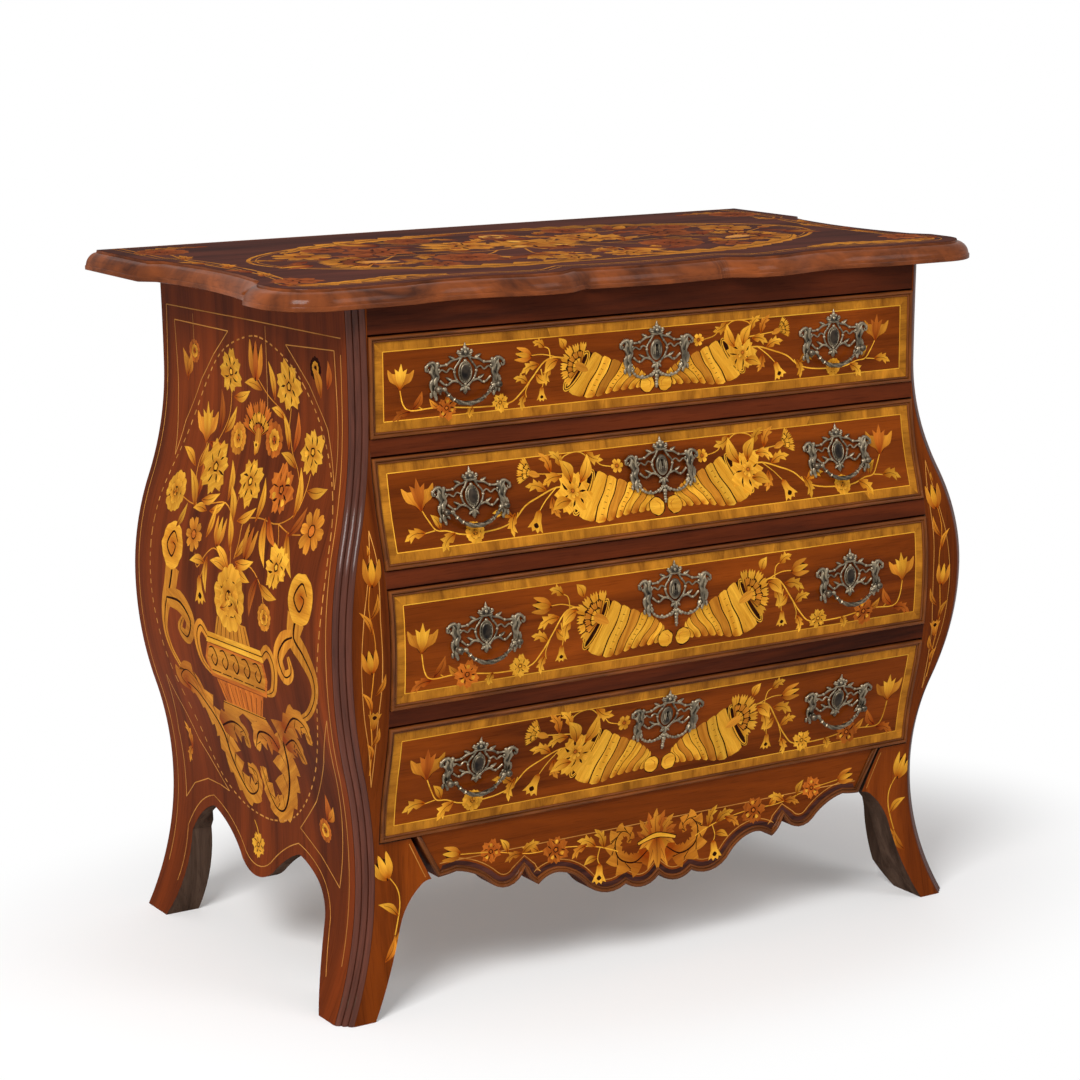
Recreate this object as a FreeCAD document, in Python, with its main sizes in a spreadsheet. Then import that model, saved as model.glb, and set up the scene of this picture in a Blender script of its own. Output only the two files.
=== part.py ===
# Bombe chest of four long drawers: carcase with swelling front and sides, shaped top,
# sabre feet, dovetailed drawers with bail handles, escutcheons and working locks.
# Millimetres. +Z up, the front faces -Y, the origin lies on the floor at the middle of the box.
import FreeCAD, Part
import Sketcher
import math
import os
import re
from FreeCAD import Placement, Rotation, Vector

document = FreeCAD.newDocument("BombeChest")
sheet = document.addObject("Spreadsheet::Sheet", "Sizes")

# Driving dimensions: alias, value, what it is.
drivingSizes = [
    ("chestHeight", 861, "floor to the top's upper face"),
    ("caseDepth", 507, "front plane of the case to its back"),
    ("drawerWidth", 783, "width of each drawer front"),
    ("drawerHeight1", 116, "front height of the first drawer"),
    ("drawerHeight2", 124.5, "front height of the second drawer"),
    ("drawerHeight3", 139.5, "front height of the third drawer"),
    ("drawerHeight4", 143, "front height of the fourth drawer, without its apron"),
    ("topRailHeight", 35, "case top down to the first drawer"),
    ("railPitch", 22.5, "gap between two drawer fronts"),
    ("topThickness", 24, "thickness of the top board"),
    ("topOverhang", 115.5, "drawer opening to the widest point of the top, each side"),
    ("backOverhang", 11, "top behind the case"),
    ("mouldingDepth", 16, "how far the edge moulding of the top is set in"),
    ("bulge", 43.6, "most that the front swells past the front plane"),
    ("sideThickness", 16, "side panels at their thinnest"),
    ("cantWidth", 17, "set-back of the canted corner on each face"),
    ("reedCount", 3, "reeds on each canted corner"),
    ("frontPostDepth", 92, "front corner post, front plane to its back"),
    ("rearPostDepth", 70, "rear corner post"),
    ("bracketDepth", 28, "thickness of the leg brackets below the last drawer"),
    ("drawerClearance", 1, "beside and below each drawer front"),
    ("topClearance", 2.5, "above each drawer front"),
    ("frontThickness", 22, "drawer front behind the front plane"),
    ("drawerBackGap", 23, "drawer boxes short of the back boards"),
    ("drawerSideThickness", 12, "sides and back of a drawer box"),
    ("drawerSideDrop", 6, "drawer sides below the top of the front"),
    ("bottomThickness", 8, "drawer bottoms and dust boards"),
    ("bottomRise", 8, "drawer bottom above the edge of its sides"),
    ("grooveDepth", 6, "grooves for bottoms and dust boards"),
    ("grooveClearance", 0.2, "tongue short of the groove's end"),
    ("lapLength", 14, "length of the half-blind dovetails"),
    ("tailSlope", 2.5, "spread of a dovetail to each side"),
    ("beadWidth", 7, "cock bead round each drawer front, seen from the front"),
    ("beadProud", 4, "cock bead past the drawer face"),
    ("railDepth", 60, "drawer rails behind the front plane"),
    ("runnerWidth", 40, "runner ledge under a drawer side"),
    ("runnerThickness", 18, "runners, side to side with the rails"),
    ("guideHeight", 16, "guide strip above its runner"),
    ("seatGap", 0.3, "gap where a moving or curved piece rests on another"),
    ("caseBottomThickness", 14, "board that closes the case below"),
    ("backThickness", 12, "back boards"),
    ("backRebate", 8, "rebate in the rear posts for the back boards"),
    ("backBoardGap", 0.6, "shrinkage gap between back boards"),
    ("skirtHeight", 102, "floor to the lobe in the middle of a side skirt"),
    ("archHeight", 158, "floor to the top of the arches in a side skirt"),
    ("footWidth", 46, "width of a foot on the floor"),
    ("apronDrop", 120, "last drawer front down to the lowest lobe of its apron"),
    ("apronBeadWidth", 7, "bead along the scalloped edge"),
    ("handleSpread", 266.5, "middle of the chest to the middle of a handle"),
    ("handleRise", 8.5, "middle of a drawer to the middle of a handle plate"),
    ("keyDrop", 39, "top of a drawer front to its keyhole"),
    ("plateThickness", 2.5, "handle plates and escutcheons"),
    ("postSpread", 40, "middle of a handle to each of its posts"),
    ("postDrop", 16, "middle of a handle plate down to the posts"),
    ("knobRadius", 4.5, "knob of a post"),
    ("knobReach", 10, "drawer face to the middle of a knob"),
    ("postRadius", 2.2, "shank of a post"),
    ("pinRadius", 1.55, "pins at the ends of a bail"),
    ("pinClearance", 0.06, "pin in its knob, on the radius"),
    ("bailSag", 19, "posts down to the lowest point of a bail"),
    ("bailRadius", 2.3, "thickness of a bail, as a radius"),
    ("bailSwell", 3.2, "radius of the swelling in the middle of a bail"),
    ("nutSize", 9, "square nuts behind a drawer front"),
    ("nutThickness", 4, "square nuts behind a drawer front"),
    ("lockWidth", 66, "lock case"),
    ("lockHeight", 60, "lock case"),
    ("lockDepth", 12, "lock case"),
    ("boltWidth", 20, "lock bolt"),
    ("boltThickness", 6, "lock bolt"),
    ("boltThrow", 8, "how far a bolt rises"),
    ("boltClearance", 0.2, "bolt in its lock case and mortise"),
    ("keyholeRadius", 2.6, "round part of a keyhole"),
    ("stopHeight", 6.5, "drawer stops on the rails"),
    ("stopLength", 26, "drawer stops, front to back"),
    ("stopWidth", 22, "drawer stops"),
    ("stopSpread", 230, "middle of the chest to a stop"),
]
for row, (alias, number, note) in enumerate(drivingSizes, start=1):
    sheet.set("A%d" % row, note)
    sheet.set("B%d" % row, str(number))
    sheet.setAlias("B%d" % row, alias)
document.recompute()


class Sizes:
    """The sheet's cells, read back as plain numbers."""


size = Sizes()
for alias, number, note in drivingSizes:
    setattr(size, alias, float(sheet.get(alias)))

sides = {"left": -1, "right": 1}
drawerNames = ["drawer_1", "drawer_2", "drawer_3", "drawer_4"]
lastDrawer = drawerNames[-1]

# Derived places, all from the cells above.
caseTop = size.chestHeight - size.topThickness
frontReach = size.bulge + size.knobReach + size.knobRadius
frontPlane = -(size.caseDepth + size.backOverhang - frontReach) / 2
casePlaneBack = frontPlane + size.caseDepth
frontBack = frontPlane + size.frontThickness
halfFront = size.drawerWidth / 2
halfOpening = halfFront + size.drawerClearance
sideInset = halfFront - size.drawerSideThickness
postBack = frontPlane + size.frontPostDepth
rearPostFront = casePlaneBack - size.rearPostDepth
railBack = frontPlane + size.railDepth
backBoardFront = casePlaneBack - size.backThickness
drawerBack = backBoardFront - size.drawerBackGap

drawerTop = {}
drawerBottom = {}
level = caseTop - size.topRailHeight
for index, name in enumerate(drawerNames, start=1):
    drawerTop[name] = level
    drawerBottom[name] = level - getattr(size, "drawerHeight%d" % index)
    level = drawerBottom[name] - size.railPitch
apronTop = drawerBottom[lastDrawer]
bracketTop = apronTop - 2 * size.drawerClearance
caseFloor = apronTop - size.seatGap - size.runnerThickness


def linked(text):
    """An expression in which every alias points at the sheet."""
    names = "|".join(sorted((alias for alias, number, note in drivingSizes), key=len, reverse=True))
    return re.sub(r"\b(%s)\b" % names, r"Sizes.\1", text)


# The same places as expressions, for the pieces that are bound to the sheet.
frontPlaneText = "(-(caseDepth + backOverhang - bulge - knobReach - knobRadius) / 2)"
frontBackText = "(%s + frontThickness)" % frontPlaneText
railBackText = "(%s + railDepth)" % frontPlaneText
caseBackText = "(%s + caseDepth)" % frontPlaneText
postBackText = "(%s + frontPostDepth)" % frontPlaneText
rearPostText = "(%s - rearPostDepth)" % caseBackText
drawerBackText = "(%s - backThickness - drawerBackGap)" % caseBackText
halfOpeningText = "(drawerWidth / 2 + drawerClearance)"
caseTopText = "(chestHeight - topThickness)"
drawerTopText = {}
drawerBottomText = {}
levelText = "%s - topRailHeight" % caseTopText
for index, name in enumerate(drawerNames, start=1):
    drawerTopText[name] = "(%s)" % levelText
    drawerBottomText[name] = "(%s - drawerHeight%d)" % (levelText, index)
    levelText = "%s - railPitch" % drawerBottomText[name]

handedIn = []


def handIn(item):
    """Remember a finished sub-part; its Label names the file."""
    handedIn.append(item)
    return item


def boxPiece(label, low, high):
    """A box between two corners that are written as expressions."""
    piece = document.addObject("Part::Box", label)
    for field, start, end in zip(("Length", "Width", "Height"), low, high):
        piece.setExpression(field, linked("(%s) - (%s)" % (end, start)))
    for axis, start in zip("xyz", low):
        piece.setExpression("Placement.Base.%s" % axis, linked(start))
    return piece


def grouped(label, pieces):
    """Several solids of one kind in one sub-part."""
    group = document.addObject("Part::Compound", label)
    group.Links = pieces
    return group


def shaped(label, shape):
    """A sub-part whose form comes from the swelling curves of the case."""
    piece = document.addObject("Part::Feature", label)
    piece.Shape = shape
    piece.Placement = Placement()
    return piece


def block(low, high):
    """A plain solid between two corners, as a tool for cuts."""
    return Part.makeBox(high[0] - low[0], high[1] - low[1], high[2] - low[2], Vector(*low))


def prism(edges, direction):
    """A solid swept straight from a closed outline."""
    return Part.Face(Part.Wire(Part.__sortEdges__(edges))).extrude(direction)


def arc(first, middle, last):
    return Part.Arc(first, middle, last).toShape()


def line(first, last):
    return Part.makeLine(first, last)


# --- swelling outlines of the case -------------------------------------------------------

# The outline stands upright at ankle, bulge and waist; heights tied to what they line up with.
ankleHeight = apronTop - 41.5
bulgeHeight = (drawerTop["drawer_3"] + drawerBottom["drawer_3"]) / 2
waistHeight = drawerBottom["drawer_1"] + 26
turnHeights = [0, ankleHeight, bulgeHeight, waistHeight, caseTop]
# At the floor, ankle, bulge, waist and case top: past the drawer opening, and forward of the front plane.
sideSwell = [63.5, 22.3, 66.6, 17.2, 19.5]
frontSwell = [26, 7, size.bulge, 1.6, 0.7]
inflection = 0.47   # where an ogee changes its bend, as a share of the way up it


def risingArcs(swells):
    """Tangent arcs from floor to case top, each upright at its turn; highest point, turn and offset of centre."""
    floor, ankle, bulge, waist, top = [Vector(swell, 0, height) for swell, height in zip(swells, turnHeights)]
    lowJoint = ankle + (bulge - ankle) * inflection
    highJoint = bulge + (waist - bulge) * inflection
    stretches = []
    for turn, end in ((ankle, floor), (ankle, lowJoint), (bulge, lowJoint),
                      (bulge, highJoint), (waist, highJoint), (waist, top)):
        chord = end - turn
        offset = chord.dot(chord) / (2 * chord.x)
        stretches.append((max(turn.z, end.z), turn, offset))
    return stretches


sideArcs = risingArcs(sideSwell)
frontArcs = risingArcs(frontSwell)


def swellAt(arcs, height):
    upper, turn, offset = next((found for found in arcs if found[0] >= height), arcs[-1])
    reach = math.sqrt(offset ** 2 - (height - turn.z) ** 2)
    return turn.x + offset - math.copysign(reach, offset)


def sideAt(height):
    """Half the width of the case at a height."""
    return halfOpening + swellAt(sideArcs, height)


def frontAt(height):
    """Y of the case's front face at a height."""
    return frontPlane - swellAt(frontArcs, height)


def frontLean(height):
    """Lean of the front face in degrees, positive where it tips forward towards the top."""
    step = 2
    rise = frontAt(height + step) - frontAt(height - step)
    return -math.degrees(math.atan(rise / (2 * step)))


def risingEdges(arcs, place, lowHeight, highHeight):
    """The outline between two heights as arcs; place gives the point at a height."""
    joints = [upper for upper, turn, offset in arcs if lowHeight < upper < highHeight]
    edges = []
    for low, high in zip([lowHeight] + joints, joints + [highHeight]):
        edges.append(arc(place(low), place((low + high) / 2), place(high)))
    return edges


def sideEdges(y, inset=0.0):
    """Outline of the case's side from floor to case top."""
    return risingEdges(sideArcs, lambda height: Vector(sideAt(height) - inset, y, height), 0, caseTop)


def frontEdges(x, lowHeight, highHeight, proud=0.0):
    """Outline of the front between two heights, moved forward by an even amount."""
    return risingEdges(frontArcs, lambda height: Vector(x, frontAt(height) - proud, height),
                       lowHeight, highHeight)


def frontBlock(lowHeight, highHeight, halfWidth, back):
    """A solid behind the swelling front, straight across the width and flat at its back."""
    edges = frontEdges(-halfWidth, lowHeight, highHeight)
    corners = [Vector(-halfWidth, back, height) for height in (lowHeight, highHeight)]
    edges.append(line(*corners))
    for corner in corners:
        edges.append(line(corner, Vector(-halfWidth, frontAt(corner.z), corner.z)))
    return prism(edges, Vector(2 * halfWidth, 0, 0))


def frontSkin(lowHeight, highHeight, halfWidth, proud):
    """A thin layer on the swelling front."""
    edges = frontEdges(-halfWidth, lowHeight, highHeight)
    edges += frontEdges(-halfWidth, lowHeight, highHeight, proud)
    for height in (lowHeight, highHeight):
        seat = Vector(-halfWidth, frontAt(height), height)
        edges.append(line(seat, seat - Vector(0, proud, 0)))
    return prism(edges, Vector(2 * halfWidth, 0, 0))


def mirrored(shape):
    return shape.mirror(Vector(0, 0, 0), Vector(1, 0, 0))


def onSide(shape, side):
    """A shape modelled on the right, placed on either side."""
    return shape if side > 0 else mirrored(shape)


# --- skirt of the sides and outline of the feet ----------------------------------------

def skirtCutter():
    """All that is open below the sides: two arches with a lobe between them."""
    floor = -20
    kneeDepth = 108
    rearDepth = size.caseDepth - 64
    lobe = size.skirtHeight
    peak = size.archHeight

    def at(depth, height):
        return Vector(-halfOpening - 200, frontPlane + depth, height)

    def between(share, height):
        """A place from the knee of the front foot (0) to the top of the rear foot (1)."""
        return at(kneeDepth + (rearDepth - kneeDepth) * share, height)

    frontPeak = between(0.1269, peak)
    rearPeak = between(0.8254, peak + 1)
    lobeFront = between(0.3209, lobe + 15)
    lobeRear = between(0.5657, lobe + 11)
    ankle = at(75, lobe - 1)
    knee = at(kneeDepth, peak - 14)
    rearFootTop = at(rearDepth, lobe + 10)
    rearFootToe = at(size.caseDepth - 55, 0)
    frontToe = at(30, 0)
    edges = [
        arc(frontToe, at(63, lobe / 2), ankle),
        arc(ankle, at(87, lobe + 25), knee),
        arc(knee, between(0.0627, peak - 5), frontPeak),
        arc(frontPeak, between(0.2343, peak - 18), lobeFront),
        arc(lobeFront, between(0.4403, lobe), lobeRear),
        arc(lobeRear, between(0.6821, peak - 17), rearPeak),
        arc(rearPeak, between(0.9299, peak - 17), rearFootTop),
        arc(rearFootTop, at(size.caseDepth - 66, lobe / 2), rearFootToe),
        line(rearFootToe, at(size.caseDepth - 55, floor)),
        line(at(size.caseDepth - 55, floor), at(30, floor)),
        line(at(30, floor), frontToe),
    ]
    return prism(edges, Vector(2 * halfOpening + 400, 0, 0))


def caseSection(innerEdges, start):
    """Front view of a corner piece: swelling outline outside, given edges inside."""
    y = frontPlane + start
    top = Vector(sideAt(caseTop), y, caseTop)
    toe = Vector(sideAt(0), y, 0)
    innerTop = Vector(halfOpening, y, caseTop)
    innerToe = Vector(sideAt(0) - size.footWidth, y, 0)
    return sideEdges(y) + [line(top, innerTop), line(innerToe, toe)] + innerEdges(y, innerTop, innerToe)


# How far the apron's slanted ends and the leg brackets reach in from the drawer opening.
bracketReach = 42.5
bracketTip = 70.5
bracketSlant = 55


def frontLegEdges(y, innerTop, innerToe):
    """Straight stile, bracket with a slanted end, and the inside curve of a sabre leg."""
    shelf = Vector(halfOpening, y, bracketTop)
    corner = Vector(halfOpening - bracketReach, y, bracketTop)
    tip = Vector(halfOpening - bracketTip, y, bracketTop - bracketSlant)
    heel = Vector(halfOpening - 56, y, tip.z - 5)
    calf = Vector(halfOpening - 26, y, tip.z - 50)
    return [
        line(innerTop, shelf),
        line(shelf, corner),
        line(corner, tip),
        arc(tip, Vector(halfOpening - 63, y, tip.z - 1), heel),
        arc(heel, Vector(halfOpening - 37, y, tip.z - 26), calf),
        arc(calf, Vector(halfOpening - 7, y, calf.z * 0.47), innerToe),
    ]


def rearLegEdges(y, innerTop, innerToe):
    """Straight post that turns out into the foot."""
    knee = Vector(halfOpening, y, caseFloor - 60)
    bend = Vector(halfOpening + 3, y, knee.z * 0.5)
    return [line(innerTop, knee), arc(knee, bend, innerToe)]


def cornerCutter():
    """Cuts the cant and its reeds down the whole front corner; each reed is worked as three flats."""
    sections = []
    cant = size.cantWidth
    width = cant * math.sqrt(2)
    reedWidth = width / size.reedCount
    reedRise = 0.3 * reedWidth
    along = Vector(1, 1, 0).normalize()
    outward = Vector(1, -1, 0).normalize()
    steps = 16
    for step in range(-1, steps + 2):
        height = caseTop * step / steps
        start = Vector(sideAt(height) - cant, frontAt(height), height) - outward * reedRise
        corners = [start - along * 14]
        for reed in range(int(size.reedCount)):
            for share, rise in ((0, 0), (0.25, reedRise), (0.75, reedRise)):
                corners.append(start + along * (reedWidth * (reed + share)) + outward * rise)
        end = start + along * width
        corners += [end, end + along * 14, (start + end) * 0.5 + outward * 60]
        sections.append(Part.makePolygon(corners + corners[:1]))
    return Part.makeLoft(sections, True, True)


skirt = skirtCutter()
corner = cornerCutter()


def frontPost(side):
    """Stile, canted reeded corner, leg and bracket in one piece, as the real ones are glued up."""
    start = -size.bulge - 20
    post = prism(caseSection(frontLegEdges, start), Vector(0, size.frontPostDepth - start, 0))
    post = post.common(frontBlock(0, caseTop, halfOpening + 120, postBack))
    post = post.cut(block((0, frontPlane + size.bracketDepth, -1),
                          (halfOpening, postBack + 1, bracketTop + 1)))
    post = post.cut(skirt)
    post = post.cut(corner)
    return onSide(post, side)


def rearPost(side):
    start = size.caseDepth - size.rearPostDepth
    post = prism(caseSection(rearLegEdges, start), Vector(0, size.rearPostDepth, 0))
    post = post.cut(skirt)
    rebate = block((halfOpening - 1, backBoardFront, caseFloor - 20),
                   (halfOpening + size.backRebate, casePlaneBack + 1, caseTop + 1))
    return onSide(post.cut(rebate), side)


def sidePanel(side):
    """Swelling board between the two posts, with the scalloped skirt along its lower edge."""
    edges = sideEdges(postBack) + sideEdges(postBack, size.sideThickness)
    for height in (0, caseTop):
        outside = Vector(sideAt(height), postBack, height)
        edges.append(line(outside, outside - Vector(size.sideThickness, 0, 0)))
    return onSide(prism(edges, Vector(0, rearPostFront - postBack, 0)).cut(skirt), side)


for sideName, side in sides.items():
    handIn(shaped("%s_front_post" % sideName, frontPost(side)))
    handIn(shaped("%s_side_panel" % sideName, sidePanel(side)))
handIn(shaped("rear_posts", Part.makeCompound([rearPost(side) for side in sides.values()])))


# --- top board ------------------------------------------------------------------------

def topOutline():
    """Plan of the top, anticlockwise: corners, each with a point on the arc that follows or None."""
    half = halfOpening + size.topOverhang
    back = size.caseDepth + size.backOverhang + 3 * size.mouldingDepth
    notch = size.caseDepth - 145
    rightCorners = [
        ((105, -7), None),
        ((130, -24), (172, -27)),
        ((215, -17), (279, -9)),
        ((340, -20), None),
        ((half - 78, -21), (half - 22, -1)),
        ((half - 3, 52), None),
        ((half - 3, 84), None),
        ((half - 20, 110), (half - 31, (notch + 92) / 2)),
        ((half - 17, notch - 16), None),
        ((half, notch), None),
        ((half, back), None),
    ]
    leftCorners = []
    bends = [bend for corner, bend in rightCorners]
    for place in reversed(range(len(rightCorners))):
        x, depth = rightCorners[place][0]
        bend = bends[place - 1] if place > 0 else (0, -18)
        leftCorners.append(((-x, depth), (-bend[0], bend[1]) if bend else None))
    return [(topPoint(corner), topPoint(bend) if bend else None)
            for corner, bend in rightCorners + leftCorners]


def topPoint(spot):
    return Vector(spot[0], frontPlane + spot[1], caseTop)


def outlineEdges(outline):
    """Lines and arcs between the corners of a closed outline."""
    edges = []
    for place, (corner, bend) in enumerate(outline):
        following = outline[(place + 1) % len(outline)][0]
        edges.append(arc(corner, bend, following) if bend else line(corner, following))
    return edges


def inwardNormal(edge, parameter):
    tangent = edge.tangentAt(parameter)
    return Vector(-tangent.y, tangent.x, 0)


sharpestMitre = 0.8   # keeps the mitres of narrow cusps short


def insetRing(outline, inset, rise):
    """The outline set in by an even amount, with mitred corners, and lifted."""
    edges = outlineEdges(outline)
    lift = Vector(0, 0, rise)
    ring = []
    for place, (corner, bend) in enumerate(outline):
        before, after = edges[place - 1], edges[place]
        first = inwardNormal(before, before.LastParameter)
        second = inwardNormal(after, after.FirstParameter)
        mitre = (first + second) * (inset / max(1 + first.dot(second), sharpestMitre))
        newBend = None
        if bend:
            middle = (after.FirstParameter + after.LastParameter) / 2
            newBend = after.valueAt(middle) + inwardNormal(after, middle) * inset + lift
        ring.append((corner + mitre + lift, newBend))
    return Part.Wire(outlineEdges(ring))


def topBoard():
    """Board with an ovolo edge on a square fillet, worked round the front and both sides."""
    outline = topOutline()
    fillet = 6
    lip = 3
    ovoloHeight = size.topThickness - fillet - lip
    ovoloDepth = size.mouldingDepth - 1
    steps = 3
    rings = [(0, 0), (0, fillet)]
    for step in range(1, steps + 1):
        angle = math.radians(90) * step / steps
        inset = 1 + ovoloDepth * (1 - math.cos(angle))
        rings.append((inset, fillet + ovoloHeight * math.sin(angle)))
    rings.append((size.mouldingDepth, size.topThickness))
    board = Part.makeLoft([insetRing(outline, inset, rise) for inset, rise in rings], True, True)
    trim = block((-halfOpening - 300, casePlaneBack + size.backOverhang, caseTop - 10),
                 (halfOpening + 300, casePlaneBack + 400, size.chestHeight + 10))
    return board.cut(trim)


handIn(shaped("top_board", topBoard()))


# --- rails, runners and boards inside the case -------------------------------------------

def boltMortise(name):
    """Room in the rail above a drawer for its raised bolt."""
    gap = size.boltClearance
    middle = frontBack - size.lockDepth / 2
    low = drawerTop[name]
    high = low + size.topClearance + size.boltThrow
    return block((-size.boltWidth / 2 - 4 * gap, middle - size.boltThickness / 2 - 4 * gap, low),
                 (size.boltWidth / 2 + 4 * gap, middle + size.boltThickness / 2 + 4 * gap, high))


def dustLevel(name):
    """Underside of the dust board below a drawer."""
    return drawerBottom[name] - size.drawerClearance - size.railPitch / 2


def drawerRail(above, below):
    """Rail between two drawers, or the top rail where nothing is above."""
    if above is None:
        low, high = drawerTop[below] + size.topClearance, caseTop
    else:
        low, high = drawerTop[below] + size.topClearance, drawerBottom[above] - size.drawerClearance
    rail = frontBlock(low, high, halfOpening, railBack).cut(boltMortise(below))
    if above is None:
        return rail
    dust = dustLevel(above)
    reach = halfOpening - size.runnerWidth + size.grooveDepth
    groove = block((-reach, railBack - size.grooveDepth, dust),
                   (reach, railBack + 1, dust + size.bottomThickness))
    return rail.cut(groove)


rails = [drawerRail(None, drawerNames[0])]
for above, below in zip(drawerNames, drawerNames[1:]):
    rails.append(drawerRail(above, below))
handIn(shaped("front_rails", Part.makeCompound(rails)))


def innerSide(lowHeight, highHeight):
    """Least distance from the middle to the inside of a side panel between two heights."""
    steps = 8
    heights = [lowHeight + (highHeight - lowHeight) * step / steps for step in range(steps + 1)]
    return min(sideAt(height) for height in heights) - size.sideThickness - size.seatGap


def runner(name, side):
    """Ledge under a drawer side, with a guide strip where the case swells away from it."""
    top = drawerBottom[name] - size.seatGap
    low = top - size.runnerThickness
    inner = halfOpening - size.runnerWidth
    edge = halfOpening - size.seatGap
    piece = block((inner, railBack, low), (edge, backBoardFront, top))
    outer = innerSide(low, top + size.guideHeight)
    if outer - edge > 4:
        guide = block((edge, postBack + size.seatGap, low),
                      (outer, rearPostFront - size.seatGap, top + size.guideHeight))
        piece = piece.fuse(guide).removeSplitter()
    if name != lastDrawer:
        dust = dustLevel(name)
        groove = block((inner - 1, railBack - 1, dust),
                       (inner + size.grooveDepth, backBoardFront + 1, dust + size.bottomThickness))
        piece = piece.cut(groove)
    return onSide(piece, side)


runners = []
for name in drawerNames:
    for sideName, side in sides.items():
        runners.append(shaped("runner_%s_%s" % (name[-1], sideName), runner(name, side)))

dustBoards = []
for name in drawerNames[:-1]:
    dustLow = "(%s - drawerClearance - railPitch / 2)" % drawerBottomText[name]
    reach = "(%s - runnerWidth + grooveDepth - grooveClearance)" % halfOpeningText
    low = ("-" + reach, "%s - grooveDepth + grooveClearance" % railBackText, dustLow)
    high = (reach, "%s - backThickness" % caseBackText, dustLow + " + bottomThickness")
    dustBoards.append(boxPiece("dust_board_" + name[-1], low, high))
handIn(grouped("dust_boards", dustBoards))

for sideName, side in sides.items():
    edges = ["(%s - runnerWidth)" % halfOpeningText, "(%s - seatGap)" % halfOpeningText]
    if side < 0:
        edges = ["-" + edges[1], "-" + edges[0]]
    low = (edges[0], railBackText, "%s - topRailHeight + topClearance" % caseTopText)
    high = (edges[1], "%s - backThickness" % caseBackText, caseTopText)
    runners.append(boxPiece("kicker_" + sideName, low, high))
handIn(grouped("runners_and_kickers", runners))


def sketchOn(body, planeRole, label):
    """An empty sketch on one of the body's own origin planes."""
    sketch = body.newObject("Sketcher::SketchObject", label)
    plane = [item for item in body.Origin.OriginFeatures if item.Role == planeRole][0]
    sketch.AttachmentSupport = (plane, [""])
    sketch.MapMode = "FlatFace"
    return sketch


def polygonSketch(body, planeRole, label, corners):
    """A closed polygon whose corners are held at distances given as expressions."""
    sketch = sketchOn(body, planeRole, label)
    count = len(corners)
    for number in range(count):
        angle = 2 * math.pi * number / count
        following = 2 * math.pi * (number + 1) / count
        sketch.addGeometry(Part.LineSegment(Vector(10 * math.cos(angle), 10 * math.sin(angle), 0),
                                            Vector(10 * math.cos(following), 10 * math.sin(following), 0)))
    for number in range(count):
        sketch.addConstraint(Sketcher.Constraint("Coincident", number, 2, (number + 1) % count, 1))
    for number, (across, up) in enumerate(corners):
        for kind, text in (("DistanceX", across), ("DistanceY", up)):
            index = sketch.addConstraint(Sketcher.Constraint(kind, -1, 1, number, 1, 10.0))
            sketch.setExpression("Constraints[%d]" % index, linked(text))
    return sketch


def padOf(body, sketch, label, length, symmetric=False):
    pad = body.newObject("PartDesign::Pad", label)
    pad.Profile = sketch
    pad.setExpression("Length", linked(length))
    if symmetric:
        pad.SideType = "Symmetric"
    return pad


def caseBottom():
    """Board that closes the case below, notched round the four posts."""
    body = document.addObject("PartDesign::Body", "case_bottom")
    floorTop = "(%s - seatGap - runnerThickness)" % drawerBottomText[lastDrawer]
    inner = "(%s - seatGap)" % halfOpeningText
    outer = "(%s + %.2f)" % (halfOpeningText, innerSide(caseFloor - size.caseBottomThickness, caseFloor)
                             - halfOpening)
    front = "(%s + bracketDepth + seatGap)" % frontPlaneText
    notchFront = "(%s + seatGap)" % postBackText
    notchBack = "(%s - seatGap)" % rearPostText
    back = "(%s - backThickness)" % caseBackText
    right = [(inner, front), (inner, notchFront), (outer, notchFront),
             (outer, notchBack), (inner, notchBack), (inner, back)]
    left = [("-" + across, up) for across, up in reversed(right)]
    sketch = polygonSketch(body, "XY_Plane", "case_bottom_plan", right + left)
    padOf(body, sketch, "case_bottom_pad", "caseBottomThickness")
    body.setExpression("Placement.Base.z", linked("%s - caseBottomThickness" % floorTop))
    return body


handIn(caseBottom())

boards = []
boardCount = 3
lowEdge = "(%s - seatGap - runnerThickness - caseBottomThickness)" % drawerBottomText[lastDrawer]
boardPitch = "((%s - %s) / %d)" % (caseTopText, lowEdge, boardCount)
reach = "(%s + backRebate - seatGap)" % halfOpeningText
for number in range(boardCount):
    low = ("-" + reach, "%s - backThickness" % caseBackText, "%s + %d * %s" % (lowEdge, number, boardPitch))
    high = (reach, caseBackText, "%s + %d * %s - backBoardGap" % (lowEdge, number + 1, boardPitch))
    boards.append(boxPiece("back_board_%d" % (number + 1), low, high))
handIn(grouped("back_boards", boards))

stops = []
for name in drawerNames:
    seat = "(%s - drawerClearance)" % drawerBottomText[name]
    base = seat
    if name == lastDrawer:
        base = "(%s - seatGap - runnerThickness)" % drawerBottomText[name]
    for sideName, side in sides.items():
        middle = "%d * stopSpread" % side
        low = ("%s - stopWidth / 2" % middle, "%s + seatGap" % frontBackText, base)
        high = ("%s + stopWidth / 2" % middle, "%s + seatGap + stopLength" % frontBackText,
                "%s + stopHeight" % seat)
        stops.append(boxPiece("stop_%s_%s" % (name[-1], sideName), low, high))
handIn(grouped("drawer_stops", stops))


# --- drawers --------------------------------------------------------------------------------

tailCount = 3
tailShare = 0.28   # half of a dovetail's root, as a share of the spacing


def tailCorners(name):
    """Expressions for the dovetails at the front of a drawer side, from the bottom up."""
    height = "(drawerHeight%s - drawerSideDrop)" % name[-1]
    corners = []
    for number in range(tailCount):
        centre = "(%s + %s * %.4f)" % (drawerBottomText[name], height, (number + 0.5) / tailCount)
        root = "(%s * %.4f)" % (height, tailShare / tailCount)
        tip = "(%s + tailSlope)" % root
        tipPlace = "(%s - lapLength)" % frontBackText
        corners += [(frontBackText, "%s - %s" % (centre, root)), (tipPlace, "%s - %s" % (centre, tip)),
                    (tipPlace, "%s + %s" % (centre, tip)), (frontBackText, "%s + %s" % (centre, root))]
    return corners


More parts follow.
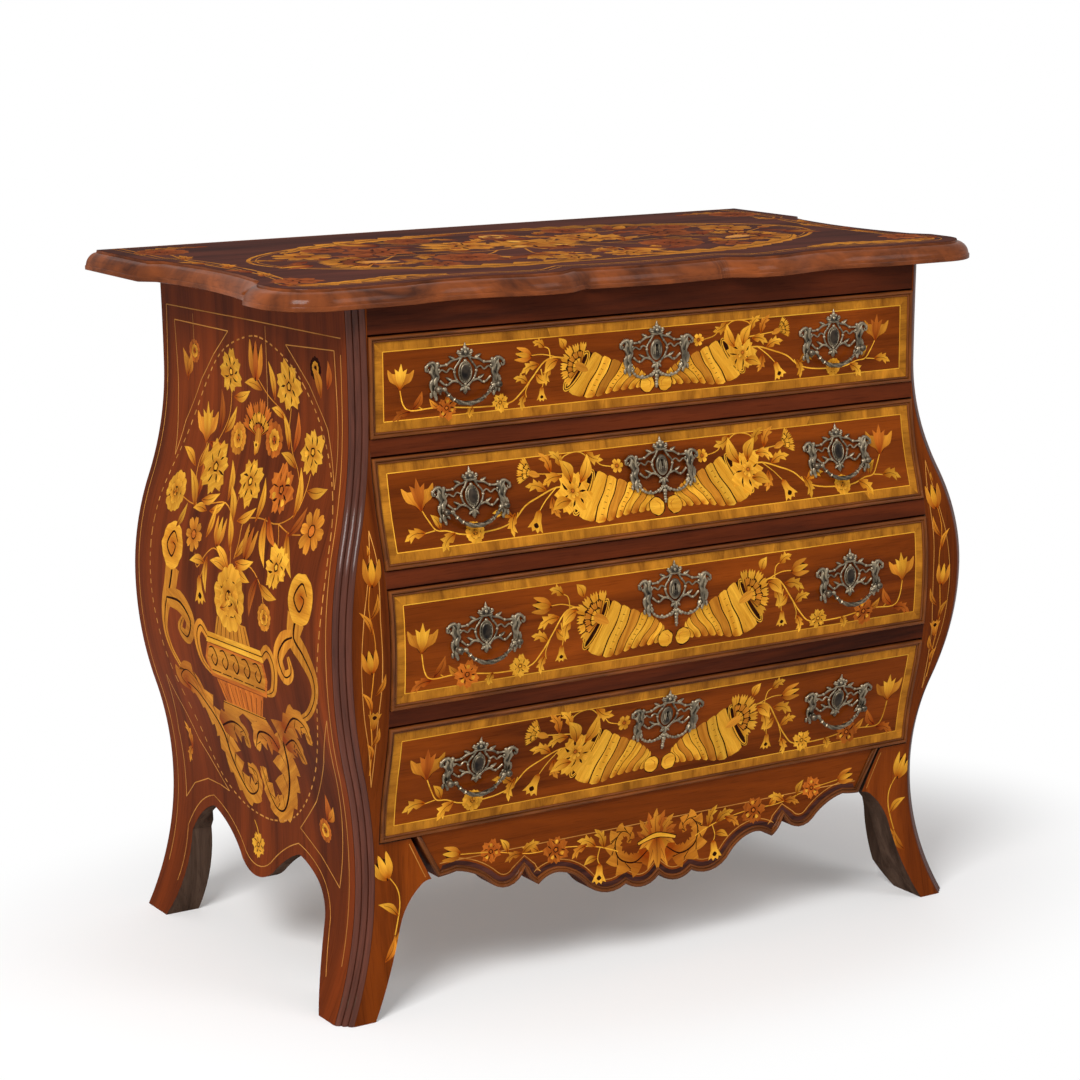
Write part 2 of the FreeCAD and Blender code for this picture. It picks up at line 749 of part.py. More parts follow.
def drawerSide(name, sideName, side):
    """Drawer side with dovetails at its front end and a groove for the bottom."""
    label = "%s_%s_board" % (name, sideName)
    body = document.addObject("PartDesign::Body", label)
    top = "(%s - drawerSideDrop)" % drawerTopText[name]
    corners = [(frontBackText, drawerBottomText[name])] + tailCorners(name)
    corners += [(frontBackText, top), (drawerBackText, top), (drawerBackText, drawerBottomText[name])]
    outline = polygonSketch(body, "YZ_Plane", label + "_outline", corners)
    padOf(body, outline, label + "_pad", "drawerSideThickness")
    document.recompute()
    grooveLow = "(%s + bottomRise)" % drawerBottomText[name]
    near, far = "0", "grooveDepth"
    if side < 0:
        near, far = "drawerSideThickness - grooveDepth", "drawerSideThickness"
    grooveHigh = grooveLow + " + bottomThickness"
    groove = polygonSketch(body, "XZ_Plane", label + "_groove",
                           [(near, grooveLow), (far, grooveLow), (far, grooveHigh), (near, grooveHigh)])
    pocket = body.newObject("PartDesign::Pocket", label + "_pocket")
    pocket.Profile = groove
    pocket.Type = "Length"
    pocket.SideType = "Symmetric"
    pocket.setExpression("Length", linked("4 * caseDepth"))
    place = "-drawerWidth / 2" if side < 0 else "drawerWidth / 2 - drawerSideThickness"
    body.setExpression("Placement.Base.x", linked(place))
    return body


def tailSockets(name):
    """The room that the dovetails of both sides take in the drawer front."""
    height = drawerTop[name] - drawerBottom[name] - size.drawerSideDrop
    tip = frontBack - size.lapLength
    sockets = []
    for number in range(tailCount):
        centre = drawerBottom[name] + height * (number + 0.5) / tailCount
        root = height * tailShare / tailCount
        wide = root + size.tailSlope
        points = [Vector(sideInset, frontBack, centre - root), Vector(sideInset, tip, centre - wide),
                  Vector(sideInset, tip, centre + wide), Vector(sideInset, frontBack, centre + root)]
        socket = Part.Face(Part.makePolygon(points + points[:1])).extrude(Vector(size.drawerSideThickness, 0, 0))
        sockets += [socket, mirrored(socket)]
    return sockets


def apronOutline():
    """Scalloped lower edge of the last drawer, anticlockwise seen from the front (x, drop)."""
    deep = size.apronDrop
    end = halfOpening
    rightCorners = [
        ((0, deep - 11), (26, deep)),
        ((49, deep - 8), (76, deep - 2)),
        ((110, deep - 21), (127, deep - 34)),
        ((146, deep - 40), (163, deep - 37.5)),
        ((175, deep - 30), (186, deep - 39)),
        ((194, deep - 54.5), (214, deep - 35.5)),
        ((240, deep - 42), (262, deep - 58)),
        ((end - 103.5, deep - 67), (end - 91, deep - 65)),
        ((end - 78.5, deep - 64), None),
        ((end - 48.5, 0), None),
    ]
    corners = [(Vector(spot[0], -spot[1], 0), Vector(bend[0], -bend[1], 0) if bend else None)
               for spot, bend in rightCorners]
    bends = [bend for corner, bend in corners]
    leftCorners = []
    for place in range(len(corners) - 1, 0, -1):
        spot = corners[place][0]
        bend = bends[place - 1]
        leftCorners.append((Vector(-spot.x, spot.y, 0), Vector(-bend.x, bend.y, 0) if bend else None))
    return corners + leftCorners


def uprightPrism(wire, front, back):
    """A flat outline (x, height) stood up and swept along Y between two places."""
    face = Part.Face(wire)
    face.rotate(Vector(0, 0, 0), Vector(1, 0, 0), 90)
    face.translate(Vector(0, front, 0))
    return face.extrude(Vector(0, back - front, 0))


def apronPrism(inset, front, back):
    """The apron's outline, set in from its edge, as a straight prism."""
    raised = insetRing(apronOutline(), inset, 0)
    raised.translate(Vector(0, apronTop, 0))
    return uprightPrism(raised, front, back)


def apronFloor():
    return apronTop - size.apronDrop - 2


def handleHeight(name):
    return (drawerTop[name] + drawerBottom[name]) / 2 + size.handleRise


def keyHeight(name):
    return drawerTop[name] - size.keyDrop


def postHeight(name):
    """Height of the bail's pivots: the plate follows the leaning face."""
    lean = math.radians(frontLean(handleHeight(name)))
    return (handleHeight(name) - size.postDrop * math.cos(lean)
            - size.knobReach * math.sin(lean))


def postDepth(name):
    """Y of the bail's pivots."""
    middle = handleHeight(name)
    lean = math.radians(frontLean(middle))
    return frontAt(middle) + size.postDrop * math.sin(lean) - size.knobReach * math.cos(lean)


def handlePlacesX():
    return [side * size.handleSpread for side in sides.values()]


flats = 6   # small turned pieces and their holes are worked as flats
halfFlat = math.radians(180 / flats)


def flatRing(radius, x, y, z):
    """Closed polygon across Y whose flats lie a radius from its middle."""
    corners = []
    for number in range(flats):
        angle = halfFlat * (2 * number + 1)
        reach = radius / math.cos(halfFlat)
        corners.append(Vector(x + reach * math.cos(angle), y, z + reach * math.sin(angle)))
    return Part.makePolygon(corners + corners[:1])


def alongY(radius, x, z, start, length):
    return Part.Face(flatRing(radius, x, start, z)).extrude(Vector(0, length, 0))


def keyhole(x, z, start, length):
    """Round hole with a slot below it."""
    slot = block((x - 0.5 * size.keyholeRadius, start, z - 3.4 * size.keyholeRadius),
                 (x + 0.5 * size.keyholeRadius, start + length, z))
    return alongY(size.keyholeRadius, x, z, start, length).fuse(slot)


def drawerFront(name):
    low, high = drawerBottom[name], drawerTop[name]
    outside = frontPlane - size.bulge - 20
    cuts = tailSockets(name)
    if name == lastDrawer:
        front = frontBlock(apronFloor(), high, halfFront, frontBack)
        below = block((-halfFront - 1, outside, apronFloor() - 1), (halfFront + 1, frontBack + 1, apronTop))
        front = front.cut(below.cut(apronPrism(0, outside - 1, frontBack + 2)))
    else:
        front = frontBlock(low, high, halfFront, frontBack)
    reach = sideInset + size.grooveDepth
    groove = low + size.bottomRise
    cuts.append(block((-reach, frontBack - size.grooveDepth, groove),
                      (reach, frontBack + 1, groove + size.bottomThickness)))
    cuts.append(block((-size.lockWidth / 2, frontBack - size.lockDepth, high - size.lockHeight),
                      (size.lockWidth / 2, frontBack + 1, high + 1)))
    through = frontBack + 1 - outside
    for x in handlePlacesX():
        for post in (-size.postSpread, size.postSpread):
            cuts.append(alongY(size.postRadius, x + post, postHeight(name), outside, through))
    cuts.append(keyhole(0, keyHeight(name), outside, through))
    return front.cut(cuts)


def drawerBead(name):
    """Cock bead glued round the front's edge, and along the apron of the last drawer."""
    low, high = drawerBottom[name], drawerTop[name]
    outside = frontPlane - size.bulge - 30
    frame = frontSkin(low, high, halfFront, size.beadProud)
    window = block((-halfFront + size.beadWidth, outside, low + size.beadWidth),
                   (halfFront - size.beadWidth, frontBack, high - size.beadWidth))
    frame = frame.cut(window)
    if name != lastDrawer:
        return frame
    skin = frontSkin(apronFloor(), apronTop, halfFront, size.beadProud)
    strip = skin.common(apronPrism(0, outside, frontBack))
    strip = strip.cut(apronPrism(size.apronBeadWidth, outside, frontBack))
    inside = halfOpening - bracketReach - 2 * size.apronBeadWidth - 5
    strip = strip.cut(block((-inside, outside, apronTop - size.beadWidth - 1),
                            (inside, frontBack, apronTop + 2)))
    return Part.makeCompound([frame] + strip.Solids)


# --- brass --------------------------------------------------------------------------------

def cutOut(corners, thickness):
    """A flat piece with straight edges between its corners (x, z)."""
    points = [Vector(x, 0, z) for x, z in corners]
    return Part.Face(Part.makePolygon(points + points[:1])).extrude(Vector(0, -thickness, 0))


def oval(halfWidth, halfHeight, thickness):
    count = 2 * flats
    angles = [2 * math.pi * (number + 0.5) / count for number in range(count)]
    return cutOut([(halfWidth * math.cos(angle), halfHeight * math.sin(angle)) for angle in angles], thickness)


def band(first, middle, last, width, thickness):
    """A curved strap in two stretches along the arc through three spots (x, z)."""
    path = arc(*[Vector(x, 0, z) for x, z in (first, middle, last)])
    centre = path.Curve.Center
    outer, inner = [], []
    for spot in path.discretize(3):
        across = (spot - centre).normalize() * (width / 2)
        outer.append(spot + across)
        inner.append(spot - across)
    return cutOut([(spot.x, spot.z) for spot in outer + inner[::-1]], thickness)


def evenly(corners):
    """The corners of a right half, followed by those of the left."""
    return corners + [(-x, z) for x, z in reversed(corners) if x > 0]


def plateFrame(thickness):
    """Openwork common to handle plates and escutcheons, flat on its back, origin at the oval."""
    spread = size.postSpread
    crown = evenly([(9.5, 16), (13, 25), (7.5, 23.5), (2.6, 26), (3.6, 31), (0, 35)])
    leaf = evenly([(6, -16), (2.6, -21.5), (0, -26)])
    column = [(-5, 11), (3, 11), (9, 13.5), (14.5, 7), (11.5, 5), (8, 9), (5, 7.5), (5, -22),
              (4.8, -27), (2.6, -31), (0.6, -27), (0, -22), (-5, -22)]
    straps = [
        ((7, 21), (20, 12), (spread - 3, 9), 4),
        ((9, -17), (25, -13), (spread - 3, -3.5), 3.6),
    ]
    pieces = [oval(15.5, 19, thickness), cutOut(crown, thickness), cutOut(leaf, thickness)]
    for side in sides.values():
        pieces.append(cutOut([(side * (spread + x), z) for x, z in column], thickness))
        for first, middle, last, width in straps:
            spots = [(side * x, z) for x, z in (first, middle, last)]
            pieces.append(band(*spots, width, thickness))
    return pieces


def standOff(height, below, above):
    """How far a flat plate must come forward where the face behind it is hollow."""
    slope = math.tan(math.radians(frontLean(height)))
    steps = 12
    most = 0
    for step in range(steps + 1):
        rise = -below + (below + above) * step / steps
        most = max(most, frontAt(height) - rise * slope - frontAt(height + rise))
    return most


def faceFrame(x, height, below, above):
    """Placement of a plate that lies on the leaning front."""
    spot = Vector(x, frontAt(height) - standOff(height, below, above) - size.seatGap / 2, height)
    return Placement(spot, Rotation(Vector(1, 0, 0), frontLean(height)))


def handlePlate():
    thickness = size.plateThickness
    pieces = plateFrame(thickness) + [oval(9.5, 12.5, thickness + 1.4)]
    return pieces[0].fuse(pieces[1:]).removeSplitter()


def escutcheon():
    thickness = size.plateThickness
    spread = size.postSpread
    tassel = evenly([(3.2, -29), (4.6, -34), (2.2, -39), (2.8, -43), (0, -47)])
    swag = band((-spread + 1, -18), (0, -33), (spread - 1, -18), 4.4, thickness)
    pieces = plateFrame(thickness) + [oval(10.5, 14, thickness + 1), swag, cutOut(tassel, thickness)]
    plate = pieces[0].fuse(pieces[1:]).removeSplitter()
    return plate.cut(keyhole(0, 2 * size.keyholeRadius, -thickness - 4, thickness + 8))


def bailSpan():
    """Half the width of the bail's bow between the ball heads."""
    return size.postSpread - size.knobRadius - size.bailRadius - 0.6


def handlePlates(name):
    """Both plates of a drawer, bored for the shanks of their posts."""
    plates = []
    for x in handlePlacesX():
        plate = handlePlate()
        plate.Placement = faceFrame(x, handleHeight(name), 31, 35)
        for post in (-size.postSpread, size.postSpread):
            start = frontAt(handleHeight(name)) - 40
            plate = plate.cut(alongY(size.postRadius + 0.4, x + post, postHeight(name), start, 80))
        plates.append(plate)
    return Part.makeCompound(plates)


def handlePost(name, x, inward):
    """Post with a bored knob, through the drawer front into the square nut behind it."""
    z, y = postHeight(name), postDepth(name)
    knob = size.knobRadius
    shank = size.postRadius
    end = frontBack + size.nutThickness
    profile = [(y - knob, 0.5 * knob), (y - 0.5 * knob, knob), (y + 0.5 * knob, knob),
               (y + 0.9 * knob, shank), (end, shank)]
    post = Part.makeLoft([flatRing(radius, x, along, z) for along, radius in profile], True, True)
    bore = alongY(size.pinRadius + size.pinClearance, 0, 0, 0, 1.5 * knob + 1.5)
    bore.Placement = Placement(Vector(x + inward * (knob + 1), y, z), Rotation(Vector(0, 0, 1), inward * 90))
    half = size.nutSize / 2
    nut = block((x - half, frontBack, z - half), (x + half, end, z + half))
    return post.fuse(nut).removeSplitter().cut(bore)


def handlePosts(name):
    posts = []
    for x in handlePlacesX():
        for inward in (1, -1):
            posts.append(handlePost(name, x - inward * size.postSpread, inward))
    return Part.makeCompound(posts)


def bail(name, sideName, side):
    """Bow that swells in its middle third, with a collar and a pin at each end that turns in the knobs."""
    label = "%s_%s_bail" % (name, sideName)
    span = "(postSpread - knobRadius - bailRadius - 0.6)"
    radius = (bailSpan() ** 2 + size.bailSag ** 2) / (2 * size.bailSag)
    halfAngle = math.asin(bailSpan() / radius)
    stations = 6
    rings = []
    for station in range(stations + 1):
        share = 2 * station / stations - 1
        angle = halfAngle * share
        ring = document.addObject("Part::RegularPolygon", "%s_ring_%d" % (label, station))
        ring.Polygon = flats
        swelling = "(bailRadius + (bailSwell - bailRadius) * %.4f)" % max(0, 1 - 3 * abs(share))
        ring.setExpression("Circumradius", linked("%s / %.6f" % (swelling, math.cos(halfFlat))))
        place = Vector(radius * math.sin(angle), 0, radius * (1 - math.cos(angle)) - size.bailSag)
        ring.Placement = Placement(place, Rotation(Vector(0, 1, 0), 90 - math.degrees(angle)))
        rings.append(ring)
    bow = document.addObject("Part::Loft", label + "_bow")
    bow.Sections = rings
    bow.Solid = True
    bow.Ruled = True
    pieces = [bow]
    for end in sides.values():
        outward = Rotation(Vector(0, 1, 0), end * 90)
        collar = document.addObject("Part::Prism", label + "_collar")
        collar.Polygon = flats
        collar.setExpression("Circumradius", linked("1.3 * bailRadius"))
        collar.setExpression("Height", linked("2 * bailRadius"))
        pin = document.addObject("Part::Cylinder", label + "_pin")
        pin.setExpression("Radius", linked("pinRadius"))
        pin.setExpression("Height", linked("postSpread + knobRadius / 2 - %s" % span))
        for piece, inset in ((collar, "bailRadius"), (pin, "0")):
            piece.Placement = Placement(Vector(), outward)
            piece.setExpression("Placement.Base.x", linked("%d * (%s - %s)" % (end, span, inset)))
            pieces.append(piece)
    whole = document.addObject("Part::MultiFuse", label)
    whole.Shapes = pieces
    spot = Vector(side * size.handleSpread, postDepth(name), postHeight(name))
    whole.Placement = Placement(spot, Rotation(Vector(1, 0, 0), min(0, frontLean(handleHeight(name)))))
    return whole


keyholeUp = Placement(Vector(0, 0, -2 * size.keyholeRadius), Rotation())
boltLength = "(lockHeight - keyDrop + 13)"


def lockCase(name):
    """Lock let into the back of a drawer front, with a guide for the bolt and a keyhole."""
    label = "%s_lock" % name
    body = document.addObject("PartDesign::Body", label)
    corners = [("-lockWidth / 2", "-lockHeight"), ("lockWidth / 2", "-lockHeight"),
               ("lockWidth / 2", "0"), ("-lockWidth / 2", "0")]
    padOf(body, polygonSketch(body, "XZ_Plane", label + "_case", corners), label + "_pad",
          "lockDepth", symmetric=True)
    document.recompute()
    half = "(boltWidth / 2 + boltClearance)"
    deep = "(boltThickness / 2 + boltClearance)"
    corners = [("-" + half, "-" + deep), (half, "-" + deep), (half, deep), ("-" + half, deep)]
    guide = body.newObject("PartDesign::Pocket", label + "_guide")
    guide.Profile = polygonSketch(body, "XY_Plane", label + "_slot", corners)
    guide.setExpression("Length", linked("lockHeight - 8"))
    document.recompute()
    half = "(keyholeRadius)"
    corners = [("-" + half, "-keyDrop - 2 * keyholeRadius"), (half, "-keyDrop - 2 * keyholeRadius"),
               (half, "-keyDrop + keyholeRadius"), ("-" + half, "-keyDrop + keyholeRadius")]
    entry = body.newObject("PartDesign::Pocket", label + "_key")
    entry.Profile = polygonSketch(body, "XZ_Plane", label + "_keyhole", corners)
    entry.setExpression("Length", linked("lockDepth"))
    entry.Reversed = True
    body.setExpression("Placement.Base.y", linked("%s - lockDepth / 2" % frontBackText))
    body.setExpression("Placement.Base.z", linked(drawerTopText[name]))
    return body


def lockBolt(name):
    label = "%s_lock_bolt" % name
    body = document.addObject("PartDesign::Body", label)
    corners = [("-boltWidth / 2", "-boltThickness / 2"), ("boltWidth / 2", "-boltThickness / 2"),
               ("boltWidth / 2", "boltThickness / 2"), ("-boltWidth / 2", "boltThickness / 2")]
    pad = padOf(body, polygonSketch(body, "XY_Plane", label + "_plan", corners), label + "_pad", boltLength)
    body.setExpression("Placement.Base.y", linked("%s - lockDepth / 2" % frontBackText))
    body.setExpression("Placement.Base.z", linked("%s - seatGap - %s" % (drawerTopText[name], boltLength)))
    return body


for name in drawerNames:
    handIn(shaped(name + "_front", drawerFront(name)))
    handIn(shaped(name + "_bead", drawerBead(name)))
    sideBoards = [drawerSide(name, sideName, side) for sideName, side in sides.items()]
    handIn(grouped(name + "_sides", sideBoards))
    inside = "(drawerWidth / 2 - drawerSideThickness)"
    low = ("-" + inside, "%s - drawerSideThickness" % drawerBackText,
           "%s + bottomRise + bottomThickness" % drawerBottomText[name])
    high = (inside, drawerBackText, "%s - drawerSideDrop - 4" % drawerTopText[name])
    handIn(boxPiece(name + "_back", low, high))
    tongue = "(drawerWidth / 2 - drawerSideThickness + grooveDepth - grooveClearance)"
    low = ("-" + tongue, "%s - grooveDepth + grooveClearance" % frontBackText,
           "%s + bottomRise" % drawerBottomText[name])
    high = (tongue, drawerBackText, "%s + bottomRise + bottomThickness" % drawerBottomText[name])
    handIn(boxPiece(name + "_bottom", low, high))
    handIn(shaped(name + "_handle_plates", handlePlates(name)))
    handIn(shaped(name + "_handle_posts", handlePosts(name)))
    plate = escutcheon()
    plate.Placement = faceFrame(0, keyHeight(name), 50, 35).multiply(keyholeUp)
    handIn(shaped(name + "_escutcheon", Part.makeCompound([plate])))
    handIn(lockCase(name))
    handIn(lockBolt(name))
    for sideName, side in sides.items():
        handIn(bail(name, sideName, side))

document.recompute()


# --- checks and export ----------------------------------------------------------------------

problems = [item.Name for item in document.Objects if {"Invalid", "Error"} & set(item.State)]
if problems:
    raise RuntimeError("objects that failed: " + ", ".join(problems))
for item in handedIn:
    if item.Shape.isNull() or not item.Shape.isValid() or not item.Shape.Solids:
        raise RuntimeError("no sound solid in " + item.Label)

os.makedirs("parts", exist_ok=True)
for item in handedIn:
    item.Shape.exportStep("parts/%s.step" % item.Label)
print("%d sub-parts, %d solids" % (len(handedIn), sum(len(item.Shape.Solids) for item in handedIn)))
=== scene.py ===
import bmesh
import bpy
import math
import random
import numpy as np
from mathutils import Matrix, Vector, geometry


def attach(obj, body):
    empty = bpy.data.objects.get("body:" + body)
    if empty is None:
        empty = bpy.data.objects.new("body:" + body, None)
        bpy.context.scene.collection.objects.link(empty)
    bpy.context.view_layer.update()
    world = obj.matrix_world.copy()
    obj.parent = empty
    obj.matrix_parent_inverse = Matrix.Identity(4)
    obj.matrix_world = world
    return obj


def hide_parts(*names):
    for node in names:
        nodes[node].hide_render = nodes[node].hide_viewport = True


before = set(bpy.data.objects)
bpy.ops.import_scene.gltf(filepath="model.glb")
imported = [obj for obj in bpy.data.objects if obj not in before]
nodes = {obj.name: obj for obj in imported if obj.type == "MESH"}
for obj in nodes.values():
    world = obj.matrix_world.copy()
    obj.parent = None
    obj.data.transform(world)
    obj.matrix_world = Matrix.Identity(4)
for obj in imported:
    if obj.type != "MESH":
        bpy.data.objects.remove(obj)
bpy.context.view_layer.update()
print("frame loaded,", len(nodes), "nodes")

# Pieces are worked in millimetres and turned to metres as they become meshes.
mm = 0.001
dice = random.Random(12)

caseShape = {
    "frontPlane": -229.95,
    "topBack": 288.05,
    "caseTop": 837.0,
    "topFace": 861.0,
    "opening": 392.5,        # middle to the side of the drawer opening
    "halfDrawer": 391.5,
    "cant": 17.0,
    "turns": [0, 170, 446.75, 712, 837],
    "sideSwell": [63.5, 22.3, 66.6, 17.2, 19.5],
    "frontSwell": [26, 7, 43.6, 1.6, 0.7],
    "ogee": 0.47,
    "proud": 0.15,           # veneer in front of the carcase wood
    "lift": 0.2,             # veneer and reeds above the floor
}
drawers = {
    "drawer_1": {"low": 686.0, "high": 802.0},
    "drawer_2": {"low": 539.0, "high": 663.5},
    "drawer_3": {"low": 377.0, "high": 516.5},
    "drawer_4": {"low": 211.5, "high": 354.5},
}


brassLook = {
    "handles": {"drawer_1": 752.5, "drawer_2": 609.75, "drawer_3": 455.25, "drawer_4": 291.5},
    "keyholes": {"drawer_1": 763.0, "drawer_2": 624.5, "drawer_3": 477.5, "drawer_4": 315.5},
    "across": 266.5, "spread": 40.0, "drop": 16.0, "reach": 10.0, "knob": 4.5, "shank": 2.2,
    "span": 32.6, "sag": 19.0, "frontBack": -207.95, "nut": 9.0, "nutThick": 4.0, "below": 5.2,
}


def swellArcs(swells):
    floor, ankle, bulge, waist, top = [Vector(pair) for pair in zip(swells, caseShape["turns"])]
    low = ankle + (bulge - ankle) * caseShape["ogee"]
    high = bulge + (waist - bulge) * caseShape["ogee"]
    arcs = []
    for turn, end in ((ankle, floor), (ankle, low), (bulge, low), (bulge, high), (waist, high), (waist, top)):
        chord = end - turn
        arcs.append((max(turn.y, end.y), turn, chord.dot(chord) / (2 * chord.x)))
    return arcs


sideArcs = swellArcs(caseShape["sideSwell"])
frontArcs = swellArcs(caseShape["frontSwell"])


def swellAt(arcs, height):
    height = min(max(height, 0.0), caseShape["caseTop"])
    upper, turn, offset = next((found for found in arcs if found[0] >= height), arcs[-1])
    reach = math.sqrt(max(0.0, offset ** 2 - (height - turn.y) ** 2))
    return turn.x + offset - math.copysign(reach, offset)


def sideAt(height):
    return caseShape["opening"] + swellAt(sideArcs, height)


def frontAt(height):
    return caseShape["frontPlane"] - swellAt(frontArcs, height)


def slopeOf(outline, height):
    above, below = min(height + 1, caseShape["caseTop"]), max(height - 1, 0)
    return (outline(above) - outline(below)) / (above - below)


def onFront(across, height, proud=caseShape["proud"]):
    normal = Vector((0, -1, slopeOf(frontAt, height))).normalized()
    return Vector((across, frontAt(height), height)) + normal * proud, normal


def onSide(side):
    def place(across, height, proud=caseShape["proud"]):
        normal = Vector((side, 0, -slopeOf(sideAt, height))).normalized()
        return Vector((side * sideAt(height), across, height)) + normal * proud, normal
    return place


def onTop(across, along, proud=0.0):
    return Vector((across, along, caseShape["topFace"] + proud)), Vector((0, 0, 1))


# camera, lamps and floor

white = (1, 1, 1, 1)
studio = {
    "cameraPlace": (-1.919, -3.02295, 1.2366), "yaw": 32.14, "pitch": 11.87, "roll": -0.26, "lens": 95.03,
    "lampAim": (0, 0, 0.45),
    "lamps": {
        "key": {"place": (-2.7, -1.9, 3.1), "size": 1.7, "power": 156},
        "fill": {"place": (1.5, -2.8, 2.8), "size": 1.6, "power": 27},
        "above": {"place": (0.3, 1.6, 3.0), "size": 2.4, "power": 16},
    },
    "worldLight": 0.34,
    "floorHalf": 14, "floorTone": 0.93, "floorLift": 0.17,
    "fadeHalf": (0.62, 0.42), "fadeFrom": 0.9, "fadeTo": 1.55,
}


def nodesOf(owner):
    owner.use_nodes = True
    tree = owner.node_tree
    tree.nodes.clear()

    def add(kind, inputs=None, **settings):
        node = tree.nodes.new("ShaderNode" + kind)
        for key, value in settings.items():
            setattr(node, key, value)
        for key, value in (inputs or {}).items():
            if isinstance(value, bpy.types.NodeSocket):
                tree.links.new(value, node.inputs[key])
            else:
                node.inputs[key].default_value = value
        return node

    def maths(operation, first, second, clamp=False):
        return add("Math", {0: first, 1: second}, operation=operation, use_clamp=clamp).outputs[0]
    return add, maths


def makeCamera(scene):
    yaw, pitch = math.radians(studio["yaw"]), math.radians(studio["pitch"])
    ahead = Vector((math.sin(yaw) * math.cos(pitch), math.cos(yaw) * math.cos(pitch), -math.sin(pitch)))
    right = Vector((math.cos(yaw), -math.sin(yaw), 0))
    looking = Matrix((right, right.cross(ahead), -ahead)).transposed().to_4x4()
    data = bpy.data.cameras.new("camera")
    data.lens = studio["lens"]
    data.sensor_width = 36
    data.clip_end = 60
    camera = bpy.data.objects.new("camera", data)
    camera.matrix_world = (Matrix.Translation(Vector(studio["cameraPlace"])) @ looking
                           @ Matrix.Rotation(math.radians(studio["roll"]), 4, "Z"))
    scene.collection.objects.link(camera)
    scene.camera = camera


def makeLamps(scene):
    for name, look in studio["lamps"].items():
        data = bpy.data.lights.new(name + "_lamp", "AREA")
        data.energy = look["power"]
        data.size = look["size"]
        lamp = bpy.data.objects.new(name + "_lamp", data)
        lamp.location = look["place"]
        lamp.rotation_euler = (Vector(studio["lampAim"]) - lamp.location).to_track_quat("-Z", "Y").to_euler()
        scene.collection.objects.link(lamp)


def makeWorld(scene):
    scene.world = bpy.data.worlds.new("pale_room")
    add, maths = nodesOf(scene.world)
    rays = add("LightPath").outputs
    seen = maths("MAXIMUM", rays["Is Camera Ray"], rays["Is Transmission Ray"])
    shined = maths("MAXIMUM", seen, rays["Is Glossy Ray"])
    soft = add("Background", {"Color": white, "Strength": studio["worldLight"]})
    plain = add("Background", {"Color": white, "Strength": 1.0})
    mix = add("MixShader", {0: shined, 1: soft.outputs[0], 2: plain.outputs[0]})
    add("OutputWorld", {0: mix.outputs[0]})


def makeFloor(scene):
    half = studio["floorHalf"]
    mesh = bpy.data.meshes.new("floor")
    mesh.from_pydata([(-half, -half, 0), (half, -half, 0), (half, half, 0), (-half, half, 0)], [],
                     [(0, 1, 2, 3)])
    floor = bpy.data.objects.new("floor", mesh)
    scene.collection.objects.link(floor)
    pale = bpy.data.materials.new("pale_floor")
    add, maths = nodesOf(pale)
    # The floor fades to plain white away from the feet, to the camera and in reflections only.
    wide, deep = studio["fadeHalf"]
    shape = add("VectorMath", {0: add("TexCoord").outputs["Object"], 1: (1 / wide, 1 / deep, 0)},
                operation="MULTIPLY")
    away = add("VectorMath", {0: shape.outputs[0]}, operation="LENGTH")
    fade = add("MapRange", {"Value": away.outputs["Value"], "From Min": studio["fadeFrom"],
                            "From Max": studio["fadeTo"], "To Min": studio["floorLift"]},
               interpolation_type="SMOOTHSTEP")
    rays = add("LightPath").outputs
    seen = maths("MAXIMUM", rays["Is Camera Ray"], rays["Is Glossy Ray"])
    matt = add("BsdfDiffuse", {"Color": (studio["floorTone"],) * 3 + (1,)})
    bright = add("Emission", {"Color": white})
    mix = add("MixShader", {0: maths("MULTIPLY", fade.outputs[0], seen), 1: matt.outputs[0],
                            2: bright.outputs[0]})
    add("OutputMaterial", {0: mix.outputs[0]})
    mesh.materials.append(pale)


studioScene = bpy.context.scene
studioScene.view_settings.view_transform = "Standard"
for make in (makeCamera, makeLamps, makeWorld, makeFloor):
    make(studioScene)
print("studio ready")


# woods and metals

def tone(red, green, blue):
    def linear(value):
        value /= 255
        return value / 12.92 if value <= 0.04045 else ((value + 0.055) / 1.055) ** 2.4
    return (linear(red), linear(green), linear(blue), 1)


